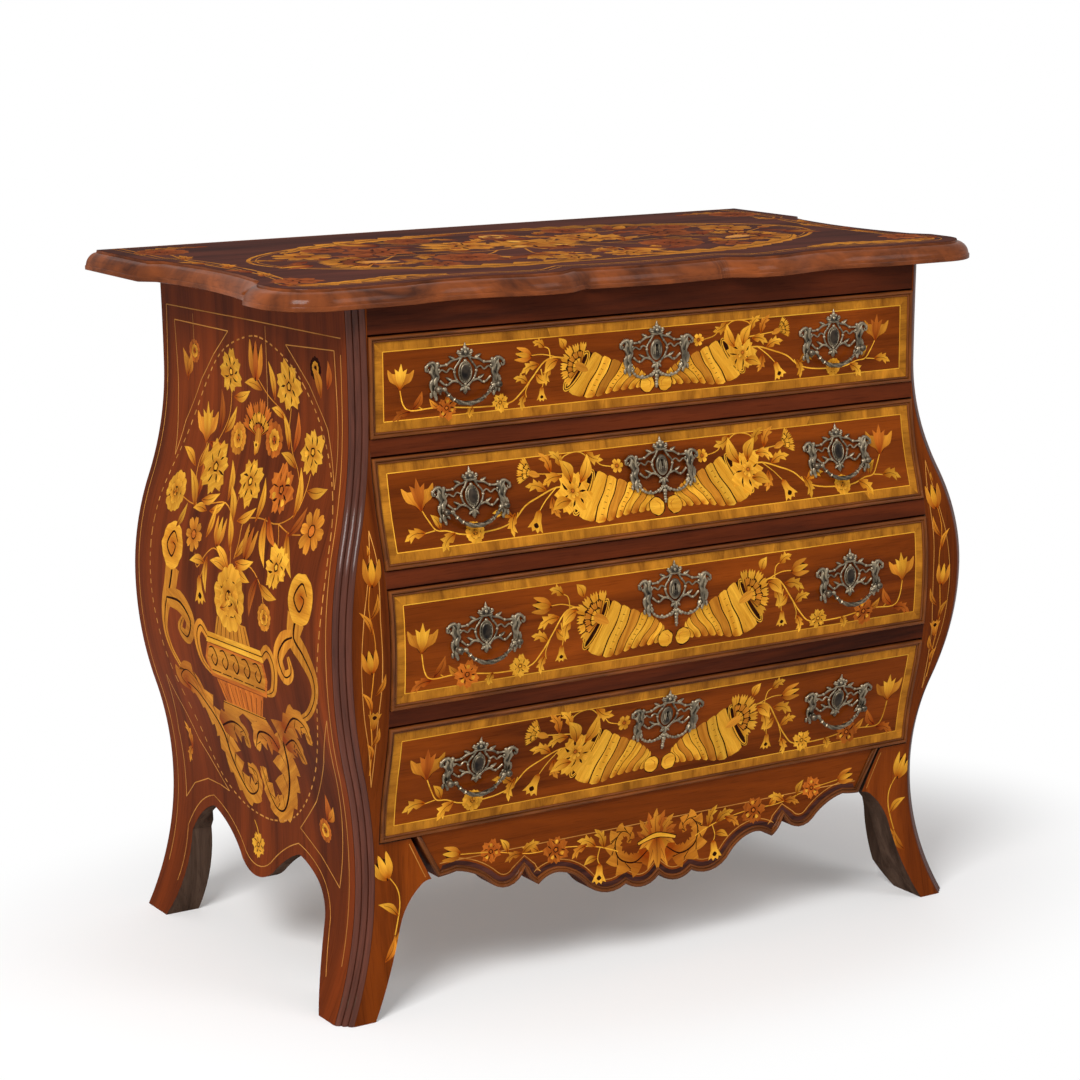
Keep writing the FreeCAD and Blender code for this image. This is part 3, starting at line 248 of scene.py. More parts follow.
# Colours as they look on the piece; figure and pores are lines per metre across and along the grain.
woods = {
    "walnutGround": {"light": (128, 58, 12), "dark": (78, 31, 6), "figure": (2.2, 26), "pores": (30, 620)},
    # painted shade: a flat dark band in place of the shaded hollow moulding on the apron
    "darkBand": {"light": (84, 46, 38), "dark": (44, 24, 20)},
    "agedFruit": {"light": (150, 76, 30), "dark": (108, 50, 22), "tint": 0.2, "coat": 0.03},
    "mahoganySide": {"light": (120, 50, 14), "dark": (74, 30, 9), "figure": (1.6, 22), "pores": (26, 560)},
    "topGround": {"light": (86, 42, 30), "dark": (52, 24, 18), "figure": (2.0, 24), "pores": (26, 560),
                  "gloss": 0.4, "coat": 0.04},
    "boxwood": {"light": (232, 172, 54), "dark": (196, 128, 30), "tint": 0.14},
    "satinwood": {"light": (212, 140, 42), "dark": (170, 100, 26), "tint": 0.16},
    "fruitwood": {"light": (196, 108, 32), "dark": (146, 70, 20), "tint": 0.16},
    "agedBoxwood": {"light": (196, 128, 38), "dark": (150, 86, 26), "tint": 0.22, "coat": 0.03},
    "inkWood": {"light": (52, 20, 8), "dark": (30, 12, 6), "tint": 0.05, "coat": 0.03},
    "crossband": {"light": (188, 122, 34), "dark": (128, 76, 20), "figure": (14, 50), "pores": (60, 700),
                  "tint": 0.07},
    "stringLine": {"light": (206, 142, 64), "dark": (164, 104, 40), "tint": 0.08},
    "carcaseWalnut": {"light": (98, 42, 18), "dark": (52, 22, 12), "figure": (2.0, 24), "pores": (28, 580),
                      "along": "X"},
    "rawEdge": {"light": (94, 74, 62), "dark": (46, 34, 28), "figure": (3.0, 40), "pores": (40, 500),
                "along": "Z", "gloss": 0.6, "coat": 0.0},
    "drawerWalnut": {"light": (96, 44, 22), "dark": (54, 24, 12), "figure": (2.2, 24), "pores": (28, 580),
                     "along": "X"},
    "beadWood": {"light": (122, 66, 26), "dark": (66, 34, 14), "figure": (10, 60), "pores": (40, 700),
                 "gloss": 0.26, "coat": 0.3},
    "topEdgeWood": {"light": (136, 70, 32), "dark": (64, 31, 17), "figure": (14, 40), "pores": (40, 600),
                    "gloss": 0.2, "coat": 0.3},
    "reedWood": {"light": (108, 58, 42), "dark": (60, 32, 24), "figure": (3, 60), "pores": (30, 600),
                 "gloss": 0.16, "coat": 0.5, "tint": 0.05},
    "oldOak": {"light": (184, 134, 84), "dark": (130, 86, 52), "figure": (3, 80), "pores": (40, 900),
               "gloss": 0.62, "coat": 0.0, "along": "Y"},
    "oakAcross": {"light": (178, 132, 84), "dark": (122, 84, 50), "figure": (3, 80), "pores": (40, 900),
                  "gloss": 0.62, "coat": 0.0, "along": "X"},
    "oakBack": {"light": (156, 108, 68), "dark": (100, 66, 42), "figure": (3, 90), "pores": (40, 900),
                "gloss": 0.68, "coat": 0.0, "along": "X"},
}
woodUsual = {"figure": (9, 110), "pores": (80, 1300), "gloss": 0.32, "shine": 0.0, "coat": 0.1, "tint": 0.10}
finishes = {}


def ramp(add, share, stops):
    node = add("ValToRGB", {0: share})
    for element, (place, colour) in zip(node.color_ramp.elements, stops):
        element.position, element.color = place, colour
    return node.outputs[0]


def makeWood(name, look):
    look = {**woodUsual, **look}
    made = finishes[name] = bpy.data.materials.new(name)
    add, maths = nodesOf(made)
    inlaid = "along" not in look      # pieces of the inlay carry their own grain

    # Spot in the wood: first along the grain, then across it.
    if inlaid:
        spot = add("Attribute", attribute_name="grain").outputs["Vector"]
    else:
        quarter = math.radians(90)
        turn = {"X": (0, 0, 0), "Y": (0, 0, quarter), "Z": (0, quarter, 0)}[look["along"]]
        spot = add("Mapping", {0: add("TexCoord").outputs["Object"], "Rotation": turn}).outputs[0]

    def noise(scales, detail, rough=0.5, bend=0.0):
        stretch = (scales[0], scales[1], 1.0 if inlaid else scales[1])
        stretched = add("VectorMath", {0: spot, 1: stretch}, operation="MULTIPLY").outputs[0]
        return add("TexNoise", {"Vector": stretched, "Scale": 1.0, "Detail": detail, "Roughness": rough,
                                "Distortion": bend}).outputs["Fac"]

    def multiplied(share, first, second):
        return add("Mix", {"Factor": share, "A": first, "B": second}, data_type="RGBA",
                   blend_type="MULTIPLY").outputs["Result"]

    figure = noise(look["figure"], 5, 0.6, 0.6)
    pores = noise(look["pores"], 3)
    clouds = noise((4.0, 5.0), 3)
    patchy = maths("SUBTRACT", clouds, 0.5)
    wood = ramp(add, figure, ((0.32, tone(*look["dark"])), (0.68, tone(*look["light"]))))
    fleck = ramp(add, pores, ((0.30, (0.55, 0.52, 0.5, 1)), (0.46, white)))

    # Each inlaid piece and each patch differs a little.
    bright = maths("ADD", maths("MULTIPLY", patchy, 0.9), 1.0)
    if inlaid:
        seed = add("SeparateXYZ", {0: spot}).outputs["Z"]
        own = add("TexWhiteNoise", {"W": seed}, noise_dimensions="1D").outputs["Value"]
        bright = maths("ADD", bright, maths("MULTIPLY", maths("SUBTRACT", own, 0.5), 2 * look["tint"]))
    colour = add("HueSaturation", {"Color": multiplied(0.55, wood, fleck), "Value": bright}).outputs[0]
    if inlaid:
        burn = add("Attribute", attribute_name="scorch").outputs["Fac"]
        burnt = maths("MULTIPLY", burn, maths("ADD", figure, 0.45), True)
        colour = multiplied(burnt, colour, tone(176, 112, 60))

    rough = maths("ADD", maths("MULTIPLY", patchy, 0.35), look["gloss"], True)
    height = maths("ADD", maths("MULTIPLY", pores, 0.5), clouds)
    bump = add("Bump", {"Strength": 0.25, "Distance": 0.0004, "Height": height})
    shader = add("BsdfPrincipled", {
        "Base Color": colour, "Roughness": rough, "IOR": 1.45, "Specular IOR Level": look["shine"],
        "Coat Weight": look["coat"], "Coat Roughness": 0.14, "Coat IOR": 1.4, "Normal": bump.outputs[0]})
    add("OutputMaterial", {0: shader.outputs[0]})


for woodName, woodLook in woods.items():
    makeWood(woodName, woodLook)

metals = {
    "agedBrass": {"dark": (22, 18, 16), "middle": (60, 50, 40), "worn": (232, 212, 176), "rough": 0.34,
                  "metallic": 0.85, "edge": (0.525, 0.645)},
    "lockBrass": {"dark": (96, 76, 44), "middle": (140, 112, 66), "worn": (196, 168, 112), "rough": 0.45,
                  "metallic": 0.9, "edge": (0.50, 0.66)},
    "filedSteel": {"dark": (78, 76, 72), "middle": (120, 118, 114), "worn": (190, 188, 184), "rough": 0.4,
                   "metallic": 0.95, "edge": (0.50, 0.66)},
}


def makeMetal(name, look):
    made = finishes[name] = bpy.data.materials.new(name)
    add, maths = nodesOf(made)
    spot = add("TexCoord").outputs["Object"]
    patches, specks = [add("TexNoise", {"Vector": spot, "Scale": scale, "Detail": detail}).outputs["Fac"]
                       for scale, detail in ((90, 5), (900, 3))]
    worn = add("MapRange", {"Value": add("NewGeometry").outputs["Pointiness"],
                            "From Min": look["edge"][0], "From Max": look["edge"][1]})
    dull = ramp(add, patches, ((0.36, tone(*look["dark"])), (0.62, tone(*look["middle"]))))
    polished = maths("MULTIPLY", worn.outputs[0], patches)
    mix = add("Mix", {"Factor": polished, "A": dull, "B": tone(*look["worn"])}, data_type="RGBA")
    rough = add("MapRange", {"Value": patches, "To Min": look["rough"] - 0.12, "To Max": look["rough"] + 0.2})
    bump = add("Bump", {"Strength": 0.35, "Distance": 0.0003, "Height": specks})
    shader = add("BsdfPrincipled", {"Base Color": mix.outputs["Result"], "Roughness": rough.outputs[0],
                                    "Metallic": look["metallic"], "Normal": bump.outputs[0]})
    add("OutputMaterial", {0: shader.outputs[0]})


for metalName, metalLook in metals.items():
    makeMetal(metalName, metalLook)

# The carcase pieces that stay as they are take these.
nodeFinishes = {
    "top_board": "carcaseWalnut",
    "left_front_post": "rawEdge", "right_front_post": "rawEdge",
    "left_side_panel": "rawEdge", "right_side_panel": "rawEdge",
    "rear_posts": "rawEdge", "front_rails": "carcaseWalnut",
    "dust_boards": "oldOak", "runners_and_kickers": "oldOak", "case_bottom": "oakAcross",
    "back_boards": "oakBack", "drawer_stops": "oldOak",
}
drawerFinishes = {
    "front": "drawerWalnut", "bead": "drawerWalnut", "sides": "oldOak", "back": "oakAcross",
    "bottom": "oakAcross", "handle_plates": "agedBrass", "handle_posts": "agedBrass",
    "escutcheon": "agedBrass", "lock": "lockBrass", "lock_bolt": "filedSteel",
    "left_bail": "agedBrass", "right_bail": "agedBrass",
}
for drawer in drawers:
    for part, finish in drawerFinishes.items():
        nodeFinishes[drawer + "_" + part] = finish
for nodeName, finish in nodeFinishes.items():
    for slot in nodes[nodeName].material_slots:
        slot.material = finishes[finish]
print("finishes ready:", len(finishes))


# drawing of the inlay, flat, in millimetres

def inlay(outline, wood, grain=0.0, heart=None, reach=0.0):
    return {"outline": [(float(x), float(y)) for x, y in outline], "wood": wood, "grain": grain,
            "heart": heart, "reach": reach, "seed": dice.uniform(0, 90)}


def moved(pieces, x=0.0, y=0.0, turn=0.0, flip=False):
    cos, sin = math.cos(math.radians(turn)), math.sin(math.radians(turn))
    mirror = -1 if flip else 1

    def put(spot):
        across, up = spot[0] * mirror, spot[1]
        return (x + across * cos - up * sin, y + across * sin + up * cos)
    return [{**piece, "outline": [put(spot) for spot in piece["outline"]],
             "grain": (math.pi - piece["grain"] if flip else piece["grain"]) + math.radians(turn),
             "heart": put(piece["heart"]) if piece["heart"] else None,
             "seed": dice.uniform(0, 90)} for piece in pieces]


def smooth(points, steps=4, closed=False):
    count = len(points)
    out = []
    for number in range(count if closed else count - 1):
        a, b, c, d = [points[(number + shift) % count if closed else min(max(number + shift, 0), count - 1)]
                      for shift in (-1, 0, 1, 2)]
        for step in range(steps):
            t = step / steps
            out.append(tuple(0.5 * (2 * b[k] + (c[k] - a[k]) * t
                                    + (2 * a[k] - 5 * b[k] + 4 * c[k] - d[k]) * t * t
                                    + (3 * b[k] - a[k] - 3 * c[k] + d[k]) * t ** 3) for k in range(len(b))))
    if not closed:
        out.append(tuple(points[-1]))
    return out


def between(values, share):
    low = min(int(share), len(values) - 2)
    return values[low] + (values[low + 1] - values[low]) * (share - low)


def walk(path, widths):      # each spot with the way across it and half the width there
    last = len(path) - 1
    for number, (x, y) in enumerate(path):
        ahead, behind = path[min(number + 1, last)], path[max(number - 1, 0)]
        length = math.hypot(ahead[0] - behind[0], ahead[1] - behind[1]) or 1
        nx, ny = -(ahead[1] - behind[1]) / length, (ahead[0] - behind[0]) / length
        yield number, x, y, nx, ny, between(widths, number / last * (len(widths) - 1)) / 2


def ribbon(points, widths, steps=4):
    left, right = [], []
    for _, x, y, nx, ny, half in walk(smooth(points, steps), widths):
        left.append((x + nx * half, y + ny * half))
        right.append((x - nx * half, y - ny * half))
    return left + right[::-1]


def angleOf(points):
    return math.atan2(points[-1][1] - points[0][1], points[-1][0] - points[0][0])


def stem(points, width=1.3, wood="boxwood"):
    return [inlay(ribbon(points, [width * 1.2, width, width * 0.9]), wood, angleOf(points))]


def line(points, width=0.9, wood="stringLine"):
    return [inlay(ribbon(points, [width, width], 1), wood, angleOf(points))]


def lines(points, width, wood="stringLine"):
    return [piece for pair in zip(points, points[1:]) for piece in line(pair, width, wood)]


def disc(radius, bumps, depth, wood, heart=None, reach=0.0):
    return [inlay(blob(radius, bumps, depth), wood, 0.0, heart, reach)]


def leaf(length=20.0, width=8.0, curl=0.12, wood="boxwood", teeth=0):
    spine = [(length * t, curl * length * math.sin(math.pi * t)) for t in (0, 0.2, 0.4, 0.6, 0.8, 1.0)]
    halves = [0.04, 0.34, 0.5, 0.44, 0.24, 0.0]
    upper, lower = [], []
    for (x, y), half in zip(spine, halves):
        upper.append((x, y + half * width))
        lower.append((x, y - half * width))
    if teeth:
        above = [(length * 0.42, curl * length + width * 0.28), (length * 0.66, curl * length + width * 0.56),
                 (length * 0.66, curl * length * 0.9 + width * 0.2)]
        under = [(length * 0.5, curl * length - width * 0.24),
                 (length * 0.78, curl * length * 0.6 - width * 0.52),
                 (length * 0.74, curl * length * 0.7 - width * 0.12)]
        upper = smooth(upper[:3], 3) + above + smooth(upper[4:], 3)
        lower = smooth(lower[:3], 3) + under + smooth(lower[4:], 3)
    else:
        upper, lower = smooth(upper, 3), smooth(lower, 3)
    vein = [(x * 0.86 + 0.06 * length, y * 0.95) for x, y in spine[:5]]
    return [inlay(upper + lower[::-1][1:], wood, 0.0, (0, 0), length * 0.75),
            inlay(ribbon(vein, [0.7, 0.6, 0.3], 3), "inkWood")]


def petal(length, width, notch=0.06):
    rim = ((0, 0), (0.34, 0.40), (0.74, 0.5), (0.98, 0.26), (1 - notch, 0), (0.98, -0.26), (0.74, -0.5),
           (0.34, -0.40))
    return smooth([(along * length, across * width) for along, across in rim], 3, True)


def spun(outline, angle, start=0.0):
    cos, sin = math.cos(angle), math.sin(angle)
    return [((x + start) * cos - y * sin, (x + start) * sin + y * cos) for x, y in outline]


def blob(radius, bumps, depth):
    points = []
    for number in range(bumps * 2):
        angle = math.pi * number / bumps
        reach = radius * (1 - depth * (number % 2)) * dice.uniform(0.94, 1.04)
        points.append((reach * math.cos(angle), reach * math.sin(angle)))
    return smooth(points, 3, True)


def ring(count, reach, length, width, wood, twist=0.0, start=0.0, notch=0.06):
    pieces = []
    for number in range(count):
        angle = 2 * math.pi * (number + twist) / count + dice.uniform(-0.08, 0.08)
        size = dice.uniform(0.92, 1.06)
        pieces.append(inlay(spun(petal(length * size, width * size, notch), angle, start), wood, angle,
                            (0, 0), reach))
    return pieces


def daisy(radius, wood="boxwood", petals=8, eye="fruitwood"):
    wide = 2 * math.pi * radius * 0.66 / petals * 0.92
    return (disc(radius * 0.62, petals, 0.12, "inkWood")
            + ring(petals, radius * 0.75, radius * 0.86, wide, wood, 0, radius * 0.14)
            + disc(radius * 0.30, 7, 0.06, "inkWood") + disc(radius * 0.23, 7, 0.06, eye))


def rose(radius, wood="boxwood", inner="boxwood"):
    return (disc(radius * 0.84, 7, 0.08, "inkWood")
            + ring(7, radius * 0.9, radius * 0.60, radius * 0.80, wood, 0, radius * 0.40, 0.12)
            + disc(radius * 0.60, 6, 0.1, "inkWood")
            + ring(5, radius * 0.6, radius * 0.46, radius * 0.64, inner, 0.5, radius * 0.12, 0.1)
            + disc(radius * 0.26, 5, 0.1, "inkWood")
            + ring(3, radius * 0.3, radius * 0.22, radius * 0.24, wood, 0.2, 0.0))


def peony(radius, wood="boxwood", inner="boxwood"):
    edge = []
    corners = 7
    lobe = ((-0.34, 0.80), (-0.20, 0.98), (-0.05, 0.90), (0.10, 1.04), (0.26, 0.86), (0.42, 0.74))
    for number in range(corners):       # ragged lobes, each with a notch
        angle = 2 * math.pi * number / corners + dice.uniform(-0.12, 0.12)
        far = radius * dice.uniform(0.92, 1.12)
        for turn, share in lobe:
            edge.append((far * share * math.cos(angle + turn), far * share * math.sin(angle + turn)))
    pieces = [inlay(edge, wood, dice.uniform(0, 3), (0, 0), radius * 0.5)]
    for number in range(corners):       # dark slits between the petals
        angle = 2 * math.pi * (number + 0.5) / corners + dice.uniform(-0.15, 0.15)
        near, far = radius * dice.uniform(0.28, 0.42), radius * dice.uniform(0.60, 0.82)
        bend = dice.uniform(-0.22, 0.22)
        slit = [(reach * math.cos(turn), reach * math.sin(turn)) for reach, turn in
                ((near, angle - bend), ((near + far) / 2, angle), (far, angle + bend))]
        widths = [radius * 0.03, radius * dice.uniform(0.07, 0.13), 0.2]
        pieces.append(inlay(ribbon(slit, widths, 3), "inkWood"))
        if number % 2:
            turn = angle + 0.42
            heart = spun(petal(radius * 0.30, radius * 0.26), turn, radius * 0.40)
            pieces.append(inlay(heart, inner, turn, (0, 0), radius * 0.6))
    return pieces + disc(radius * 0.22, 5, 0.2, "inkWood") + disc(radius * 0.13, 5, 0.1, wood)


# a drawn outline brought to size, rounded or as it is
def shaped(points, scale, wood, grain=0.0, reach=0.0, rounded=0, mirror=1):
    outline = [(x * scale * mirror, y * scale) for x, y in points]
    if rounded:
        outline = smooth(outline, rounded, True)
    return inlay(outline, wood, grain, (0, 0) if reach else None, reach)


def tulip(size=24.0, wood="boxwood", side="satinwood"):
    s = size / 24
    under = [(0, -1), (6.4, 3), (9.4, 12), (8, 21), (4.4, 18.5), (0, 24), (-4.4, 18.5), (-8, 21), (-9.4, 12),
             (-6.4, 3)]
    left = [(-0.6, 0), (-6.2, 3.6), (-9.6, 11.5), (-8.4, 24.6), (-5.2, 19), (-3.4, 12)]
    middle = [(0, 1.2), (-3.0, 8), (-3.2, 15), (0, 25), (3.2, 15), (3.0, 8)]
    return ([shaped(under, s, "inkWood")]
            + [shaped(left, s, side, math.pi / 2, size * 0.7, 3, mirror) for mirror in (1, -1)]
            + [shaped(middle, s, wood, math.pi / 2, size * 0.6, 3)])


def openTulip(size=24.0, wood="boxwood", side="satinwood"):
    s = size / 24
    under = smooth([(0, 0), (5, 5), (9, 12), (4, 17), (0, 20), (-4, 17), (-9, 12), (-5, 5)], 2, True)
    far = [(0, 0), (4.6, 5), (11.5, 9), (14, 19), (9, 15.5), (4.4, 14)]
    centre = [(0, 1), (-4.2, 9), (-6.6, 20), (-2.4, 17.4), (0, 25), (2.4, 17.4), (6.6, 20), (4.2, 9)]
    return ([shaped(under, s, "inkWood")]
            + [shaped(far, s, side, math.pi / 2 - mirror * 0.5, size * 0.6, 3, mirror) for mirror in (1, -1)]
            + [shaped(centre, s, wood, math.pi / 2, size * 0.6)])


def carnation(radius=20.0, wood="boxwood", inner="boxwood", spread=150, petals=6):
    half = math.radians(spread) / 2

    def toothed(low, high, near, far, teeth):
        points = [(near * math.sin(high), near * math.cos(high)), (near * math.sin(low), near * math.cos(low))]
        for tooth in range(teeth * 2 + 1):
            angle = low + (high - low) * tooth / (teeth * 2)
            reach = far * (1.0 if tooth % 2 else 0.88)
            points.append((reach * math.sin(angle), reach * math.cos(angle)))
        return points
    pieces = [inlay(toothed(-half, half, 0.02 * radius, radius * 0.93, petals), "inkWood")]
    rows = ((1.0, wood, petals), (0.66, inner, petals - 1), (0.38, wood, petals - 3))
    for row, (far, wooden, count) in enumerate(rows):
        reach = half * (1 - 0.12 * row)
        for number in range(count):
            low = -reach + 2 * reach * number / count
            high = low + 2 * reach / count
            gap = (high - low) * 0.07
            middle = (low + high) / 2
            edge = toothed(low + gap, high - gap, radius * 0.12, radius * far * dice.uniform(0.94, 1.05), 3)
            pieces.append(inlay(edge, wooden, math.pi / 2 - middle, (0, 0), radius * far * 0.95))
        if row < 2:
            shade = toothed(-reach * 0.9, reach * 0.9, radius * 0.05, radius * (0.70 - 0.27 * row), 5)
            pieces.append(inlay(shade, "inkWood"))
    cup = [(0, -0.42), (0.16, -0.12), (0.13, 0.16), (0, 0.26), (-0.13, 0.16), (-0.16, -0.12)]
    return pieces + [shaped(cup, radius, "satinwood", math.pi / 2, rounded=3)]


def bell(size=16.0, wood="boxwood"):
    s = size / 16
    cup = [(0, 0), (2.4, 2.4), (3.2, 8), (6.6, 15), (3.6, 13.8), (2.2, 16.4), (0, 14.4), (-2.2, 16.4),
           (-3.6, 13.8), (-6.6, 15), (-3.2, 8), (-2.4, 2.4)]
    mouth = [(0, 9.5), (2.2, 11.6), (0, 13.4), (-2.2, 11.6)]
    return [shaped(cup, s, wood, math.pi / 2, size * 0.6), shaped(mouth, s, "inkWood", rounded=3)]


flowerKinds = {"tulip": tulip, "openTulip": openTulip, "carnation": carnation, "bell": bell,
               "daisy": daisy, "rose": rose, "peony": peony}


def bloom(kind, x, y, size, turn=0.0, wood="boxwood", **more):
    return moved(flowerKinds[kind](size, wood, **more), x, y, turn)


def leafAt(x, y, length, turn, wood="boxwood", teeth=0, width=None, curl=0.12, flip=False):
    made = leaf(length, width or length * 0.40, -curl if flip else curl, wood, teeth)
    return moved(made, x, y, turn)


def asDrawn(x, y):
    return (x, y)


# a list of stems, lines, leaves and flowers, laid in turn
def drawn(rows, at=asDrawn, k=1.0):
    pieces = []
    for kind, *row in rows:
        more = row.pop() if isinstance(row[-1], dict) else {}
        if kind in ("stem", "line"):
            width, points, *rest = row
            pieces += (stem if kind == "stem" else line)([at(*spot) for spot in points], width, *rest)
        elif kind == "leaf":
            x, y, length, turn, *rest = row
            if len(rest) > 2:
                rest[2] = rest[2] * k
            pieces += leafAt(*at(x, y), length * k, turn, *rest, **more)
        else:
            x, y, size, *rest = row
            pieces += bloom(kind, *at(x, y), size * k, *rest, **more)
    return pieces


def scroll(points, widths, wood="satinwood"):
    return [inlay(ribbon(points, widths, 5), wood, angleOf(points)),
            inlay(ribbon(points, [width * 0.12 for width in widths], 5), "inkWood")]


def acanthus(points, widths, teeth=6, edge=1, wood="satinwood"):
    path = smooth(points, 9)
    last = len(path) - 1
    sideA, sideB, ticks = [], [], []
    for number, x, y, nx, ny, half in walk(path, widths):
        saw = (number / last * teeth) % 1
        reach = half * (0.75 + 1.25 * saw)
        sideA.append((x + nx * reach * edge, y + ny * reach * edge))
        back = half * (0.8 + 0.5 * ((number / last * teeth * 1.3) % 1))
        sideB.append((x - nx * back * edge, y - ny * back * edge))
        if saw < teeth / last and 0 < number < last - 3:
            start = (x + nx * half * 0.75 * edge, y + ny * half * 0.75 * edge)
            ticks += [inlay(ribbon([start, path[min(number + 4, last)]], [1.5, 0.5], 2), "inkWood")]
    whole = [inlay(sideA + sideB[::-1], wood, angleOf(points), points[0], 60)]
    return whole + [inlay(ribbon(points, [w * 0.10 for w in widths], 5), "inkWood")] + ticks


print("inlay shapes ready")


# laying the drawn inlay on the curved faces

def insideOf(outline, spots):
    loop = np.asarray(outline, float)
    turns = np.zeros(len(spots), int)
    x, y = spots[:, 0], spots[:, 1]
    for (ax, ay), (bx, by) in zip(loop, np.roll(loop, -1, 0)):
        left = (bx - ax) * (y - ay) - (x - ax) * (by - ay)
        turns += ((ay <= y) & (by > y) & (left > 0)).astype(int)
        turns -= ((ay > y) & (by <= y) & (left < 0)).astype(int)
    return turns != 0


def newPiece(name, spots, faces, body, smoothFaces=(True,)):
    mesh = bpy.data.meshes.new(name)
    mesh.from_pydata([tuple(float(c) * mm for c in spot) for spot in spots], [], faces)
    mesh.polygons.foreach_set("use_smooth", np.resize(np.asarray(smoothFaces, bool), len(mesh.polygons)))
    mesh.update()
    made = bpy.data.objects.new(name, mesh)
    bpy.context.scene.collection.objects.link(made)
    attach(made, body)
    return made


def grainOn(mesh, grain, scorch=None):
    field = mesh.attributes.new("grain", "FLOAT_VECTOR", "CORNER")
    field.data.foreach_set("vector", np.asarray(grain, np.float32).ravel())
    field = mesh.attributes.new("scorch", "FLOAT", "CORNER")
    if scorch is not None:
        field.data.foreach_set("value", np.asarray(scorch, np.float32).ravel())


def veneerSheet(name, body, outline, inlays, place, ground, groundGrain=0.0, rowGap=9.0, rim=0.5,
                holes=()):
    spots, edges = [], []
    for points in [outline, *holes] + [piece["outline"] for piece in inlays]:
        first = len(spots)
        spots.extend(Vector((p[0], p[1])) for p in points)
        edges.extend((first + k, first + (k + 1) % len(points)) for k in range(len(points)))
    corners = np.array([tuple(p) for p in outline], float)
    low, high = corners.min(0), corners.max(0)
    rows = max(1, int((high[1] - low[1]) / rowGap))
    for row in range(1, rows):
        height = low[1] + (high[1] - low[1]) * row / rows + 0.013      # off the drawn corners
        spots += [Vector((low[0] - 5, height)), Vector((high[0] + 5, height))]
        edges.append((len(spots) - 2, len(spots) - 1))
    found = geometry.delaunay_2d_cdt(spots, edges, [], 0, 1e-3, False)
    flat = np.array([tuple(p) for p in found[0]], float)
    faces = np.array([f for f in found[2] if len(f) == 3], int)
    middles = flat[faces].mean(1)
    first, second = flat[faces[:, 1]] - flat[faces[:, 0]], flat[faces[:, 2]] - flat[faces[:, 0]]
    area = (first[:, 0] * second[:, 1] - second[:, 0] * first[:, 1]) / 2
    keep = insideOf(outline, middles) & (np.abs(area) > 1e-5)
    for hole in holes:
        keep &= ~insideOf(hole, middles)
    faces, middles, area = faces[keep], middles[keep], area[keep]
    faces[area < 0] = faces[area < 0][:, ::-1]
    owner = np.full(len(faces), -1)
    for number, piece in enumerate(inlays):
        edge = np.array(piece["outline"])
        near = np.where(((middles >= edge.min(0)) & (middles <= edge.max(0))).all(1))[0]
        if len(near):
            owner[near[insideOf(edge, middles[near])]] = number
    used, index = np.unique(faces, return_inverse=True)
    faces = index.reshape(faces.shape)
    flat = flat[used]
    placed = [place(u, v) for u, v in flat]
    points = np.array([tuple(p[0]) for p in placed])
    normals = np.array([tuple(p[1]) for p in placed])
    first = points[faces[0]]
    if np.dot(np.cross(first[1] - first[0], first[2] - first[0]), normals[faces[0][0]]) < 0:
        faces = faces[:, ::-1]

    # The rim goes down into the wood behind.
    sides = {(a, b) for face in faces for a, b in ((face[0], face[1]), (face[1], face[2]), (face[2], face[0]))}
    border = [(face[k], face[(k + 1) % 3]) for face in faces for k in range(3)
              if (face[(k + 1) % 3], face[k]) not in sides]
    below = {}
    allPoints = [tuple(p) for p in points]
    for corner in (corner for pair in border for corner in pair):
        if corner not in below:
            below[corner] = len(allPoints)
            allPoints.append(tuple(points[corner] - normals[corner] * rim))
    rims = [(b, a, below[a], below[b]) for a, b in border]
    allFaces = [tuple(int(c) for c in face) for face in [*faces, *rims]]
    made = newPiece(name, allPoints, allFaces, body, [True] * len(faces) + [False] * len(rims))
    mesh = made.data

    names = [ground] + sorted({piece["wood"] for piece in inlays})
    for wood in names:
        mesh.materials.append(finishes[wood])
    slots = np.zeros(len(allFaces), int)
    woodOf = np.array([0] + [names.index(piece["wood"]) for piece in inlays])
    slots[:len(faces)] = woodOf[owner + 1]
    mesh.polygons.foreach_set("material_index", slots)

    grain = np.zeros((len(faces) * 3 + len(rims) * 4, 3))
    scorch = np.zeros(len(grain))
    angle = np.array([groundGrain] + [piece["grain"] for piece in inlays])[owner + 1]
    seeds = np.array([dice.uniform(0, 90)] + [piece["seed"] for piece in inlays])[owner + 1]
    hearts = np.array([(0, 0)] + [piece["heart"] or (0, 0) for piece in inlays], float)[owner + 1]
    reach = np.array([0] + [piece["reach"] for piece in inlays], float)[owner + 1]
    cos, sin = np.cos(angle)[:, None], np.sin(angle)[:, None]
    u, v = flat[faces][:, :, 0], flat[faces][:, :, 1]
    top = np.stack([(u * cos + v * sin) * mm, (v * cos - u * sin) * mm, np.repeat(seeds[:, None], 3, 1)], 2)
    grain[:len(faces) * 3] = top.reshape(-1, 3)
    away = np.hypot(u - hearts[:, None, 0], v - hearts[:, None, 1])
    burnt = np.clip(1.15 - away / np.maximum(reach[:, None], 1e-6), 0, 1) ** 1.5
    burnt[reach <= 0] = 0
    scorch[:len(faces) * 3] = burnt.ravel()
    grainOn(mesh, grain, scorch)

    loopVertex = np.zeros(len(mesh.loops), int)
    mesh.loops.foreach_get("vertex_index", loopVertex)
    wanted = np.zeros((len(mesh.loops), 3))
    wanted[:len(faces) * 3] = normals[loopVertex[:len(faces) * 3]]
    place3 = np.array(allPoints)
    for number, face in enumerate(rims):
        p = place3[list(face)]
        n = np.cross(p[1] - p[0], p[2] - p[0])
        wanted[len(faces) * 3 + number * 4:len(faces) * 3 + number * 4 + 4] = n / (np.linalg.norm(n) or 1)
    mesh.normals_split_custom_set([tuple(n) for n in wanted])
    print("  sheet", name, len(faces), "faces", len(inlays), "inlays")
    return made


